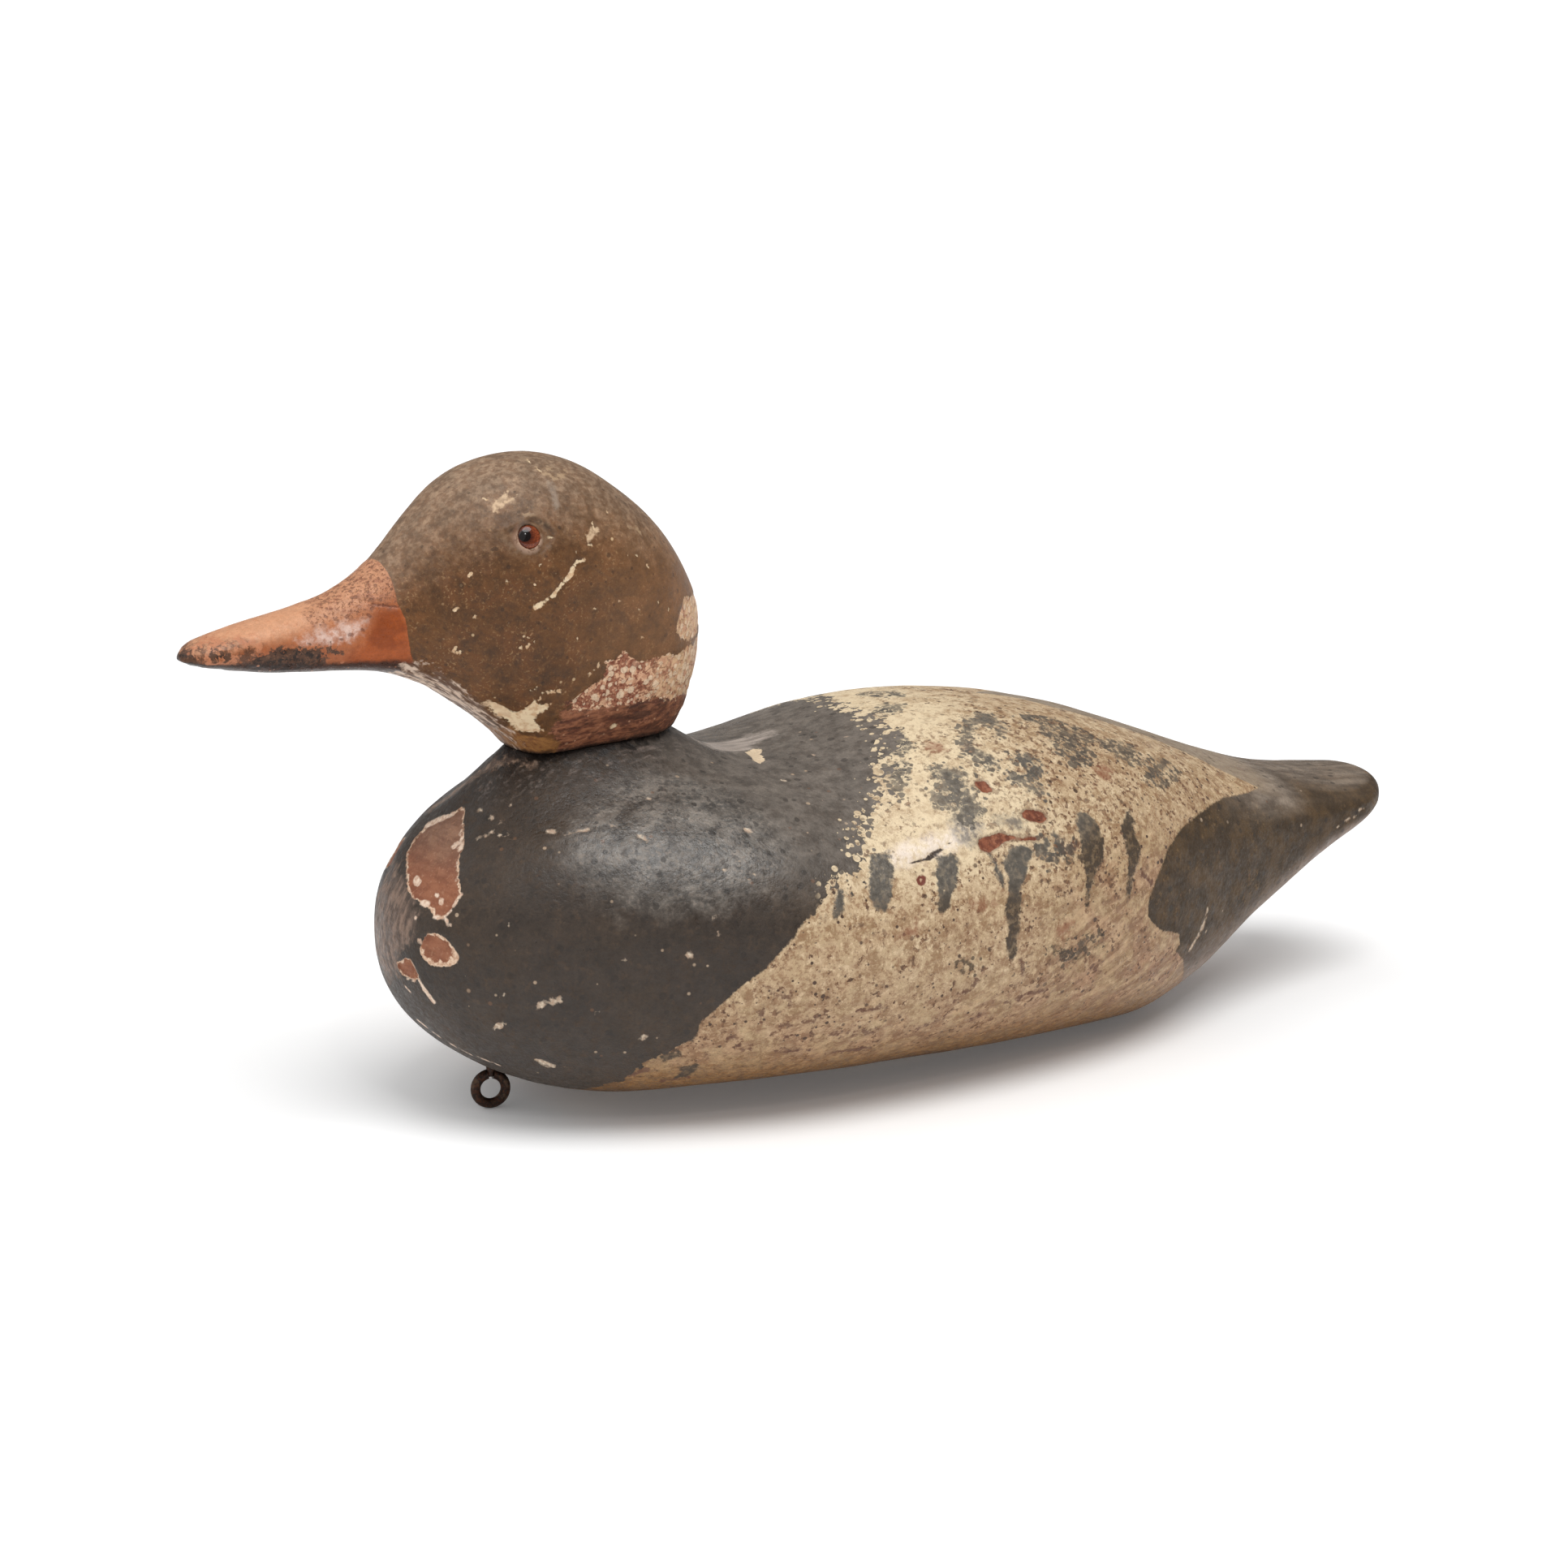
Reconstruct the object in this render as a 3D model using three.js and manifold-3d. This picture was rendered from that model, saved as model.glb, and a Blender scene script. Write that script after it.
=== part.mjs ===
// A carved and painted wooden duck decoy with a raised head and a long narrow bill.
// The body is one carved block with a flat planed underside and a low paddle tail.
// The head and bill are a second carving that stands on a low flat mound on the body.
// Two glass eyes sit in round drilled pockets, and a screw eye under the breast takes the line.
// Millimetres, +Z up. The bird faces -X and its left side is -Y.
// The underside is planed flat, and the screw eye under the breast lifts the front off the floor.

import * as THREE from 'three';
import { mergeVertices } from 'three/addons/utils/BufferGeometryUtils.js';
import Module from 'manifold-3d';

// How the decoy rests: the line eye in front, the rear end of the planed flat behind.
const REST_TILT = THREE.MathUtils.degToRad(2.0);
const REAR_CONTACT_X = 253.5;
const BREAST_TO_CENTRE = 149.85;

// Body: x runs from the breast front to the tail end, z from the planed underside.
const BODY_LENGTH = 361;
const BACK_HEIGHT = [[0, 85], [40, 93], [90, 97.5], [122, 95], [155, 102.3], [191, 105], [237, 97.4],
  [278, 83.5], [314, 71.8], [340, 67.5], [361, 66.8]];
const KEEL_HEIGHT = [[0, 0], [242, 0], [270, 6.5], [299, 22.4], [330, 41.2], [361, 57.9]];
const HALF_WIDTH = [[0, 67], [51, 70.4], [113, 77.8], [175, 76.4], [237, 63.7], [289, 40.6],
  [325, 29.6], [361, 23.2]];
const WIDEST_HEIGHT = [[0, 49], [62, 49], [144, 48], [237, 49.4], [299, 55.4], [361, 61]];
const BREAST_ROUND = { top: 50, bottom: 68.5, side: 111.5 };
const TAIL_ROUND = { side: 23, edge: 7.5 };
const PLANED_OFF = 1.8;
const UPPER_SQUARENESS = 2.25;
const LOWER_SQUARENESS = 2.4;

// Neck seat: an oval flat on a low mound, rising a little to the rear.
const SEAT = { x: 64, z: 104.8, slope: 0.09, length: 50, width: 32, reach: 1.15, fall: 2.2 };
const JOINT_GAP = 0.3;

// Head: u runs from the bill tip to the nape.
const BILL_TIP_X = -68.4;
const HEAD_LENGTH = 168.2;
const CROWN_HEIGHT = [[0, 141.1], [19, 146.3], [38, 150.6], [57.5, 159.1], [72, 172], [86, 184],
  [103, 189.9], [119.5, 189], [138.5, 180.6], [158, 168.3], [172, 151.5]];
const THROAT_HEIGHT = [[0, 136.9], [29, 132.4], [57.5, 130.7], [74.5, 125.6], [88, 117.8], [97.5, 111.3],
  [104, 105.8], [111, 99.2], [120.5, 95.8], [143.5, 94.2], [172, 96]];
const HEAD_HALF_WIDTH = [[0, 7.8], [29, 9.6], [57.5, 13], [76.5, 21.4], [95.5, 29], [119.5, 29.8],
  [143.5, 30.8], [172, 24.8]];
const CHEEK_HEIGHT = [[0, 138], [29, 140], [57.5, 139.7], [86, 153], [115, 155.5], [143.5, 148],
  [172, 135]];
const THROAT_SQUARENESS = [[0, 2.1], [72, 2.2], [88, 2.6], [105, 2.4], [134, 1.85], [172, 2.6]];
const CROWN_SQUARENESS = 2.1;
const BILL_TIP_ROUND = { edge: 6.2, side: 12.5 };
const NAPE_ROUND = { top: 43.5, bottom: 24, side: 45.5 };

// Glass eyes, set square to the cheek in blind pockets.
const EYE_AT = { x: 29.0, y: 26.2, z: 170.6 };
const EYE_OUT = { x: -0.227, y: 0.897, z: 0.38 };
const EYE_RADIUS = 3.5;
const EYE_DOME = 1.3;
const EYE_DEPTH = 3.7;
const POCKET_RADIUS = 3.8;
const POCKET_DEPTH = 4.2;

// Line eye: a ring of wire on a short shank screwed into the breast.
const RING_X = 34.2;
const RING_OUTER_RADIUS = 6.1;
const WIRE_RADIUS = 1.5;
const RING_TURN = THREE.MathUtils.degToRad(-15);
const SHANK_RADIUS = 1.3;
const SHANK_LENGTH = 13;
const PILOT_RADIUS = 1.6;
const PILOT_EXTRA = 1.0;

const wasm = await Module();
wasm.setup();

// A smooth curve through the named stations, with no bend at its two ends.
function smoothCurve(points) {
  const n = points.length;
  const x = points.map((p) => p[0]);
  const y = points.map((p) => p[1]);
  const h = x.slice(1).map((v, i) => v - x[i]);
  const upper = new Array(n).fill(0);
  const right = new Array(n).fill(0);
  const bend = new Array(n).fill(0);
  for (let i = 1; i < n - 1; i++) {
    const pull = 6 * ((y[i + 1] - y[i]) / h[i] - (y[i] - y[i - 1]) / h[i - 1]);
    const diagonal = 2 * (h[i - 1] + h[i]) - h[i - 1] * upper[i - 1];
    upper[i] = h[i] / diagonal;
    right[i] = (pull - h[i - 1] * right[i - 1]) / diagonal;
  }
  for (let i = n - 2; i > 0; i--) {
    bend[i] = right[i] - upper[i] * bend[i + 1];
  }
  return (at) => {
    const i = spanOf(x, at);
    const d = at - x[i];
    const slope = (y[i + 1] - y[i]) / h[i] - h[i] * (2 * bend[i] + bend[i + 1]) / 6;
    return y[i] + d * (slope + d * (bend[i] / 2 + d * (bend[i + 1] - bend[i]) / (6 * h[i])));
  };
}

// A curve through the named stations that never swings past them.
function steadyCurve(points) {
  const n = points.length;
  const x = points.map((p) => p[0]);
  const y = points.map((p) => p[1]);
  const h = x.slice(1).map((v, i) => v - x[i]);
  const rise = h.map((v, i) => (y[i + 1] - y[i]) / v);
  const slope = [rise[0]];
  for (let i = 1; i < n - 1; i++) {
    const a = 2 * h[i] + h[i - 1];
    const b = h[i] + 2 * h[i - 1];
    const sameWay = rise[i - 1] * rise[i] > 0;
    slope.push(sameWay ? (a + b) / (a / rise[i - 1] + b / rise[i]) : 0);
  }
  slope.push(rise[n - 2]);
  return (at) => {
    const i = spanOf(x, at);
    const t = THREE.MathUtils.clamp((at - x[i]) / h[i], 0, 1);
    const start = (1 + 2 * t) * (1 - t) * (1 - t);
    const end = t * t * (3 - 2 * t);
    const swing = h[i] * t * (1 - t) * (slope[i] * (1 - t) - slope[i + 1] * t);
    return y[i] * start + y[i + 1] * end + swing;
  };
}

function spanOf(x, at) {
  let i = 0;
  while (i < x.length - 2 && at > x[i + 1]) {
    i++;
  }
  return i;
}

// A quarter round from 0 at the end to 1 at its full length.
function roundEnd(distance, length) {
  const t = THREE.MathUtils.clamp(distance / length, 0, 1);
  return Math.sqrt(t * (2 - t));
}

function seatHeight(x) {
  return SEAT.z + SEAT.slope * (x - SEAT.x);
}

// One point of an oval section: a above the widest line, b below it.
function ovalPoint(angle, halfWidth, middle, above, below, upper, lower) {
  const c = Math.cos(angle);
  const s = Math.sin(angle);
  const n = s >= 0 ? upper : lower;
  const y = halfWidth * Math.sign(c) * Math.abs(c) ** (2 / n);
  const z = (s >= 0 ? above : below) * Math.sign(s) * Math.abs(s) ** (2 / n);
  return [y, middle + z];
}

const back = smoothCurve(BACK_HEIGHT);
const keel = steadyCurve(KEEL_HEIGHT);
const side = smoothCurve(HALF_WIDTH);
const widest = steadyCurve(WIDEST_HEIGHT);

function bodyPoint(x, angle) {
  const middle = widest(x);
  const tail = roundEnd(BODY_LENGTH - x, TAIL_ROUND.edge);
  const above = (back(x) - middle) * roundEnd(x, BREAST_ROUND.top) * tail;
  const spare = PLANED_OFF * THREE.MathUtils.clamp(1 - keel(x) / 20, 0, 1);
  const below = (middle - keel(x) + spare) * roundEnd(x, BREAST_ROUND.bottom) * tail;
  const halfWidth = side(x) * roundEnd(x, BREAST_ROUND.side) * roundEnd(BODY_LENGTH - x, TAIL_ROUND.side);
  const [y, z] = ovalPoint(angle, halfWidth, middle, above, below, UPPER_SQUARENESS, LOWER_SQUARENESS);
  if (z <= middle) {
    return [x, y, z];
  }
  // The mound: flat inside the seat's oval, falling away around it.
  const r = Math.hypot((x - SEAT.x) / (SEAT.length / 2), y / (SEAT.width / 2));
  const away = THREE.MathUtils.clamp((r - 1) / SEAT.reach, 0, 1);
  const lift = (1 - away) ** SEAT.fall * THREE.MathUtils.clamp((z - middle) / 20, 0, 1);
  return [x, y, z + (seatHeight(x) - JOINT_GAP / 2 - z) * lift];
}

const crown = smoothCurve(CROWN_HEIGHT);
const throat = steadyCurve(THROAT_HEIGHT);
const headSide = smoothCurve(HEAD_HALF_WIDTH);
const cheek = steadyCurve(CHEEK_HEIGHT);
const throatSquareness = steadyCurve(THROAT_SQUARENESS);

function headPoint(u, angle) {
  const middle = cheek(u);
  const left = HEAD_LENGTH - u;
  const tip = roundEnd(u, BILL_TIP_ROUND.edge);
  const above = (crown(u) - middle) * tip * roundEnd(left, NAPE_ROUND.top);
  const below = (middle - throat(u)) * tip * roundEnd(left, NAPE_ROUND.bottom);
  const halfWidth = headSide(u) * roundEnd(u, BILL_TIP_ROUND.side) * roundEnd(left, NAPE_ROUND.side);
  const [y, z] = ovalPoint(angle, halfWidth, middle, above, below, CROWN_SQUARENESS, throatSquareness(u));
  return [BILL_TIP_X + u, y, z];
}

// A closed skin over oval sections between two end points. Stations crowd towards both ends.
function ovalSkin(length, stations, sides, pointAt) {
  const positions = [];
  const index = [];
  positions.push(...pointAt(0, 0));
  for (let i = 1; i < stations; i++) {
    const along = length * (1 - Math.cos(Math.PI * i / stations)) / 2;
    for (let j = 0; j < sides; j++) {
      positions.push(...pointAt(along, 2 * Math.PI * j / sides));
    }
  }
  positions.push(...pointAt(length, 0));
  const last = positions.length / 3 - 1;
  for (let j = 0; j < sides; j++) {
    const k = (j + 1) % sides;
    index.push(0, 1 + k, 1 + j);
    for (let i = 0; i < stations - 2; i++) {
      const a = 1 + i * sides;
      const b = a + sides;
      index.push(a + j, a + k, b + k);
      index.push(a + j, b + k, b + j);
    }
    const end = 1 + (stations - 2) * sides;
    index.push(last, end + j, end + k);
  }
  const geometry = new THREE.BufferGeometry();
  geometry.setAttribute('position', new THREE.Float32BufferAttribute(positions, 3));
  geometry.setIndex(index);
  return geometry;
}

function toSolid(geometry) {
  const plain = geometry.clone();
  plain.deleteAttribute('normal');
  plain.deleteAttribute('uv');
  const merged = mergeVertices(plain, 1e-4);
  return new wasm.Manifold(new wasm.Mesh({
    numProp: 3,
    vertProperties: merged.attributes.position.array,
    triVerts: new Uint32Array(merged.index.array),
  }));
}

function toGeometry(solid) {
  const mesh = solid.getMesh();
  const geometry = new THREE.BufferGeometry();
  geometry.setAttribute('position', new THREE.Float32BufferAttribute(mesh.vertProperties, 3));
  geometry.setIndex(Array.from(mesh.triVerts));
  const faceted = geometry.toNonIndexed();
  faceted.computeVertexNormals();
  return faceted;
}

function namedMesh(name, geometry, color, roughness, metalness = 0) {
  const material = new THREE.MeshStandardMaterial({ color, roughness, metalness });
  const mesh = new THREE.Mesh(geometry, material);
  mesh.name = name;
  return mesh;
}

// A cylinder that stands on z = 0 and runs up its axis.
function standingCylinder(radius, height, segments) {
  const geometry = new THREE.CylinderGeometry(radius, radius, height, segments);
  geometry.rotateX(Math.PI / 2);
  geometry.translate(0, 0, height / 2);
  return geometry;
}

const decoy = new THREE.Group();
const tilted = new THREE.Group();
decoy.add(tilted);

// The tilt turns about the rear contact line, which stays on the floor.
tilted.rotation.y = REST_TILT;
tilted.position.set(
  REAR_CONTACT_X - REAR_CONTACT_X * Math.cos(REST_TILT) - BREAST_TO_CENTRE,
  0,
  REAR_CONTACT_X * Math.sin(REST_TILT),
);
tilted.updateMatrixWorld(true);

// Where the line eye stands on the floor, and the way back into the tilted frame.
const ringCentre = new THREE.Vector3(RING_X - BREAST_TO_CENTRE, 0, RING_OUTER_RADIUS);
const shankFoot = 2 * RING_OUTER_RADIUS - 2 * WIRE_RADIUS + 0.4;

const pilot = standingCylinder(PILOT_RADIUS, SHANK_LENGTH + PILOT_EXTRA, 20);
pilot.translate(ringCentre.x, 0, shankFoot);
pilot.applyMatrix4(tilted.matrixWorld.clone().invert());

const belowFlat = new THREE.BoxGeometry(500, 240, 40);
belowFlat.translate(BODY_LENGTH / 2, 0, -20);

const bodySolid = toSolid(ovalSkin(BODY_LENGTH, 54, 42, bodyPoint))
  .subtract(toSolid(belowFlat))
  .subtract(toSolid(pilot));
tilted.add(namedMesh('body', toGeometry(bodySolid), '#8b7862', 0.55));

// The head is cut off along the sloping seat.
const belowSeat = new THREE.BoxGeometry(300, 140, 60);
belowSeat.translate(0, 0, -30);
belowSeat.rotateY(-Math.atan(SEAT.slope));
belowSeat.translate(SEAT.x, 0, SEAT.z + JOINT_GAP / 2);

function eyePlace(sideSign) {
  const out = new THREE.Vector3(EYE_OUT.x, sideSign * EYE_OUT.y, EYE_OUT.z).normalize();
  const turn = new THREE.Quaternion().setFromUnitVectors(new THREE.Vector3(0, 0, 1), out);
  const at = new THREE.Vector3(EYE_AT.x, sideSign * EYE_AT.y, EYE_AT.z);
  return new THREE.Matrix4().compose(at, turn, new THREE.Vector3(1, 1, 1));
}

function eyePocket(sideSign) {
  const pocket = standingCylinder(POCKET_RADIUS, POCKET_DEPTH + 8, 28);
  pocket.translate(0, 0, -POCKET_DEPTH);
  return pocket.applyMatrix4(eyePlace(sideSign));
}

const headSolid = toSolid(ovalSkin(HEAD_LENGTH, 46, 36, headPoint))
  .subtract(toSolid(belowSeat))
  .subtract(toSolid(eyePocket(-1)))
  .subtract(toSolid(eyePocket(1)));
tilted.add(namedMesh('head', toGeometry(headSolid), '#6e5541', 0.6));

// A glass eye: a short stem with a shallow domed front.
function glassEye(name, sideSign) {
  const profile = [new THREE.Vector2(0, -EYE_DEPTH), new THREE.Vector2(EYE_RADIUS, -EYE_DEPTH)];
  const rim = 0.2;
  profile.push(new THREE.Vector2(EYE_RADIUS, rim));
  for (let i = 1; i < 6; i++) {
    const a = (Math.PI / 2) * i / 6;
    profile.push(new THREE.Vector2(EYE_RADIUS * Math.cos(a), rim + EYE_DOME * Math.sin(a)));
  }
  profile.push(new THREE.Vector2(0, rim + EYE_DOME));
  const geometry = new THREE.LatheGeometry(profile, 20);
  geometry.rotateX(Math.PI / 2);
  const mesh = namedMesh(name, geometry, '#4a1c10', 0.12);
  eyePlace(sideSign).decompose(mesh.position, mesh.quaternion, mesh.scale);
  return mesh;
}
tilted.add(glassEye('eye_left', -1));
tilted.add(glassEye('eye_right', 1));

// The line eye stands upright on the floor, its shank in the pilot hole.
const ring = new THREE.TorusGeometry(RING_OUTER_RADIUS - WIRE_RADIUS, WIRE_RADIUS, 12, 32);
ring.rotateX(Math.PI / 2);
const shank = standingCylinder(SHANK_RADIUS, SHANK_LENGTH, 20);
shank.translate(0, 0, shankFoot - RING_OUTER_RADIUS);
const lineEye = namedMesh('line_eye', toGeometry(toSolid(ring).add(toSolid(shank))), '#3a2a20', 0.45, 0.8);
lineEye.position.copy(ringCentre);
lineEye.rotation.z = RING_TURN;
decoy.add(lineEye);

export default decoy;
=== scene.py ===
import math
from types import SimpleNamespace

import bpy
import numpy as np
from mathutils import Matrix, Vector


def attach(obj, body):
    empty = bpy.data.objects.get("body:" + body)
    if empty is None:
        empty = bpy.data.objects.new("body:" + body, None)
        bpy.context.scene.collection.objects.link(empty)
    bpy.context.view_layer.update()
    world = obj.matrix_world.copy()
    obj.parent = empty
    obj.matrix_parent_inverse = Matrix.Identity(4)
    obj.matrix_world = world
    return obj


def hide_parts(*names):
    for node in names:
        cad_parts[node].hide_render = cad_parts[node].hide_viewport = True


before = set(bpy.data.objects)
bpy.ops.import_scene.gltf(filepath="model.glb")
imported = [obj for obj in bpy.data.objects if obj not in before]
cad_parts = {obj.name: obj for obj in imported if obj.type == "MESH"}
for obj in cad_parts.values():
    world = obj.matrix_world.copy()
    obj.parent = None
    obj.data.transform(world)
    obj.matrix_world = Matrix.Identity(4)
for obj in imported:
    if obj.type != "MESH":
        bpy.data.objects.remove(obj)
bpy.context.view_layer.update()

# The body
# One block, taken to be softwood, rounded over by hand, planed flat underneath, with a low mound for the
# neck and a paddle tail. It is cream all over, then dark grey over the breast, the rump and a tapering
# stripe on the back, with short ticks along the flank. Age has chipped, rubbed and stained it.

# Sizes are millimetres from the breast front and from the planed flat, as the block lay on the bench.
# The stations of the curves come from a fit of the body to its outline in the photograph.
REST_TILT = math.radians(2.0)
REAR_CONTACT_X = 253.5
BREAST_TO_CENTRE = 149.85
BODY_LENGTH = 361.0
BACK_HEIGHT = [(0, 85), (40, 93), (90, 97.5), (122, 95), (155, 102.3), (191, 105), (237, 97.4),
               (278, 83.5), (314, 71.8), (340, 67.5), (361, 66.8)]
KEEL_HEIGHT = [(0, 0), (242, 0), (270, 6.5), (299, 22.4), (330, 41.2), (361, 57.9)]
HALF_WIDTH = [(0, 67), (51, 70.4), (113, 77.8), (175, 76.4), (237, 63.7), (289, 40.6), (325, 29.6),
              (361, 23.2)]
WIDEST_HEIGHT = [(0, 49), (62, 49), (144, 48), (237, 49.4), (299, 55.4), (361, 61)]
BREAST_ROUND = {"top": 50.0, "bottom": 68.5, "side": 111.5}
TAIL_ROUND = {"side": 23.0, "edge": 7.5}
PLANED_OFF = 1.8
PLANED_EDGE_WEAR = 0.35
BODY_SQUARENESS = {"upper": 2.25, "lower": 2.4}
SEAT = {"x": 64.0, "z": 104.8, "slope": 0.09, "length": 50.0, "width": 32.0, "reach": 1.15, "fall": 2.2}
SEAM_GAP = 0.1
BODY_STATIONS, BODY_SIDES = 330, 300
FINE_STEPS, TURN_STEPS = 4001, 1441
FAR_OUTSIDE = -60.0


def smooth_curve(points):
    """A smooth curve through the named stations, with no bend at its two ends."""
    x, y = np.array(points, float).T
    h = np.diff(x)
    n = len(x)
    system = np.eye(n)
    pull = np.zeros(n)
    for i in range(1, n - 1):
        system[i, i - 1:i + 2] = h[i - 1], 2 * (h[i - 1] + h[i]), h[i]
        pull[i] = 6 * ((y[i + 1] - y[i]) / h[i] - (y[i] - y[i - 1]) / h[i - 1])
    bend = np.linalg.solve(system, pull)

    def at(t):
        t = np.asarray(t, float)
        i = np.clip(np.searchsorted(x, t) - 1, 0, n - 2)
        d = t - x[i]
        slope = (y[i + 1] - y[i]) / h[i] - h[i] * (2 * bend[i] + bend[i + 1]) / 6
        return y[i] + d * (slope + d * (bend[i] / 2 + d * (bend[i + 1] - bend[i]) / (6 * h[i])))
    return at


def steady_curve(points):
    """A curve through the named stations that never swings past them."""
    x, y = np.array(points, float).T
    h = np.diff(x)
    rise = np.diff(y) / h
    slope = np.zeros(len(x))
    slope[0], slope[-1] = rise[0], rise[-1]
    for i in range(1, len(x) - 1):
        if rise[i - 1] * rise[i] > 0:
            a, b = 2 * h[i] + h[i - 1], h[i] + 2 * h[i - 1]
            slope[i] = (a + b) / (a / rise[i - 1] + b / rise[i])

    def at(t):
        t = np.asarray(t, float)
        i = np.clip(np.searchsorted(x, t) - 1, 0, len(x) - 2)
        u = np.clip((t - x[i]) / h[i], 0, 1)
        ends = y[i] * (1 + 2 * u) * (1 - u) ** 2 + y[i + 1] * u * u * (3 - 2 * u)
        return ends + h[i] * u * (1 - u) * (slope[i] * (1 - u) - slope[i + 1] * u)
    return at


def round_end(distance, length):
    """A quarter round from 0 at the end to 1 at its full length."""
    t = np.clip(distance / length, 0, 1)
    return np.sqrt(t * (2 - t))


def smooth_step(value, low, high):
    t = np.clip((value - low) / (high - low), 0, 1)
    return t * t * (3 - 2 * t)


def spread(count, crowding=np.ones_like):
    """Places from 0 to 1, closer together where the crowding is more than one."""
    t = np.linspace(0, 1, FINE_STEPS)
    run = np.concatenate([[0], np.cumsum(crowding((t[1:] + t[:-1]) / 2))])
    return np.interp(np.linspace(0, run[-1], count + 1)[:-1], run, t)


def oval_rings(stations, half_width, middle, above, below, upper, lower, places):
    """Oval sections as points, at the given places from the top round by the left side."""
    turn = np.linspace(0, 2 * math.pi, TURN_STEPS)
    across, up = -np.sin(turn), np.cos(turn)
    rings = np.empty((len(stations), len(places), 3))
    for i, x in enumerate(stations):
        power = np.where(up >= 0, upper, lower[i])
        y = half_width[i] * np.sign(across) * np.abs(across) ** (2 / power)
        z = middle[i] + np.where(up >= 0, above[i], below[i]) * np.sign(up) * np.abs(up) ** (2 / power)
        run = np.concatenate([[0], np.cumsum(np.hypot(np.diff(y), np.diff(z)))])
        at = run[-1] * places
        rings[i, :, 0], rings[i, :, 1], rings[i, :, 2] = x, np.interp(at, run, y), np.interp(at, run, z)
    return rings


def even_stations(length, count, radius, crowding=np.ones_like):
    """Stations an even walk apart along a skin of the given radius, its two ends left out."""
    x = length * (1 - np.cos(np.linspace(0, math.pi, FINE_STEPS))) / 2
    walk = np.hypot(np.diff(x), np.diff(radius(x))) * crowding((x[1:] + x[:-1]) / 2)
    run = np.concatenate([[0], np.cumsum(walk)])
    return np.interp(np.linspace(0, run[-1], count + 2)[1:-1], run, x)


def carved(length, stations, sides, section, upper, lower, along=np.ones_like, around=np.ones_like):
    """Rings of a carving, from a function that gives the sizes of its section at any place along it."""
    def radius(x):
        half, _, above, below = section(x)
        return np.sqrt(half * (above + below) / 2)

    x = even_stations(length, stations, radius, along)
    half, middle, above, below = section(x)
    return oval_rings(x, half, middle, above, below, upper, lower(x), spread(sides, around))


def girth_of(rings):
    """Distance round each section from the back's centre line: plus on the left, minus on the right."""
    steps = np.linalg.norm(np.roll(rings, -1, 1) - rings, axis=2)
    run = np.cumsum(steps, axis=1) - steps
    total = steps.sum(axis=1)[:, None]
    return np.where(run > total / 2, run - total, run)


def grid_normals(rings):
    along = np.gradient(rings, axis=0)
    round_it = np.roll(rings, -1, 1) - np.roll(rings, 1, 1)
    normal = np.cross(round_it, along)
    return normal / np.maximum(np.linalg.norm(normal, axis=2, keepdims=True), 1e-9)


def lumps(points, size, seed):
    """Smooth random values from -1 to 1 in space, with lumps about the given size."""
    place = points / size + 517.0
    cell = np.floor(place).astype(np.int64)
    part = place - cell
    part = part * part * (3 - 2 * part)
    total = np.zeros(points.shape[:-1])
    for corner in range(8):
        step = np.array([corner & 1, corner >> 1 & 1, corner >> 2 & 1])
        key = cell + step
        mixed = key[..., 0] * 73856093 ^ key[..., 1] * 19349663 ^ key[..., 2] * 83492791 ^ seed * 40503
        mixed = (mixed ^ mixed >> 15) * 2246822519 & 0xFFFFFFFF
        mixed = (mixed ^ mixed >> 13) * 3266489917 & 0xFFFFFFFF
        weight = np.prod(np.where(step == 1, part, 1 - part), axis=-1)
        total += weight * ((mixed >> 8 & 0xFFFF) / 32767.5 - 1)
    return total


def inside(across, up, outline):
    """How far inside a closed outline each place lies, with a minus outside it."""
    nearest = np.full(across.shape, 1e6)
    within = np.zeros(across.shape, bool)
    for (ax, ay), (bx, by) in zip(outline, outline[1:] + outline[:1]):
        dx, dy = bx - ax, by - ay
        t = np.clip(((across - ax) * dx + (up - ay) * dy) / (dx * dx + dy * dy + 1e-9), 0, 1)
        nearest = np.minimum(nearest, np.hypot(across - ax - t * dx, up - ay - t * dy))
        level = ax + (up - ay) * dx / (dy if dy else 1e-9)
        within ^= ((ay > up) != (by > up)) & (across < level)
    return np.where(within, nearest, -nearest)


def inside_any(across, up, outlines):
    best = np.full(across.shape, FAR_OUTSIDE)
    for outline in outlines:
        best = np.maximum(best, inside(across, up, outline))
    return best


def inside_strokes(across, up, strokes):
    """The same for short strokes, each two ends and a half-width."""
    best = np.full(across.shape, FAR_OUTSIDE)
    for ax, ay, bx, by, half in strokes:
        dx, dy = bx - ax, by - ay
        t = np.clip(((across - ax) * dx + (up - ay) * dy) / (dx * dx + dy * dy + 1e-9), 0, 1)
        best = np.maximum(best, half - np.hypot(across - ax - t * dx, up - ay - t * dy))
    return best


def mirrored(outlines, shift=0.0, stretch=1.0):
    """The same outlines on the right side, moved along and stretched a little."""
    return [[(x + shift, -s * stretch) for x, s in outline] for outline in outlines]


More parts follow.
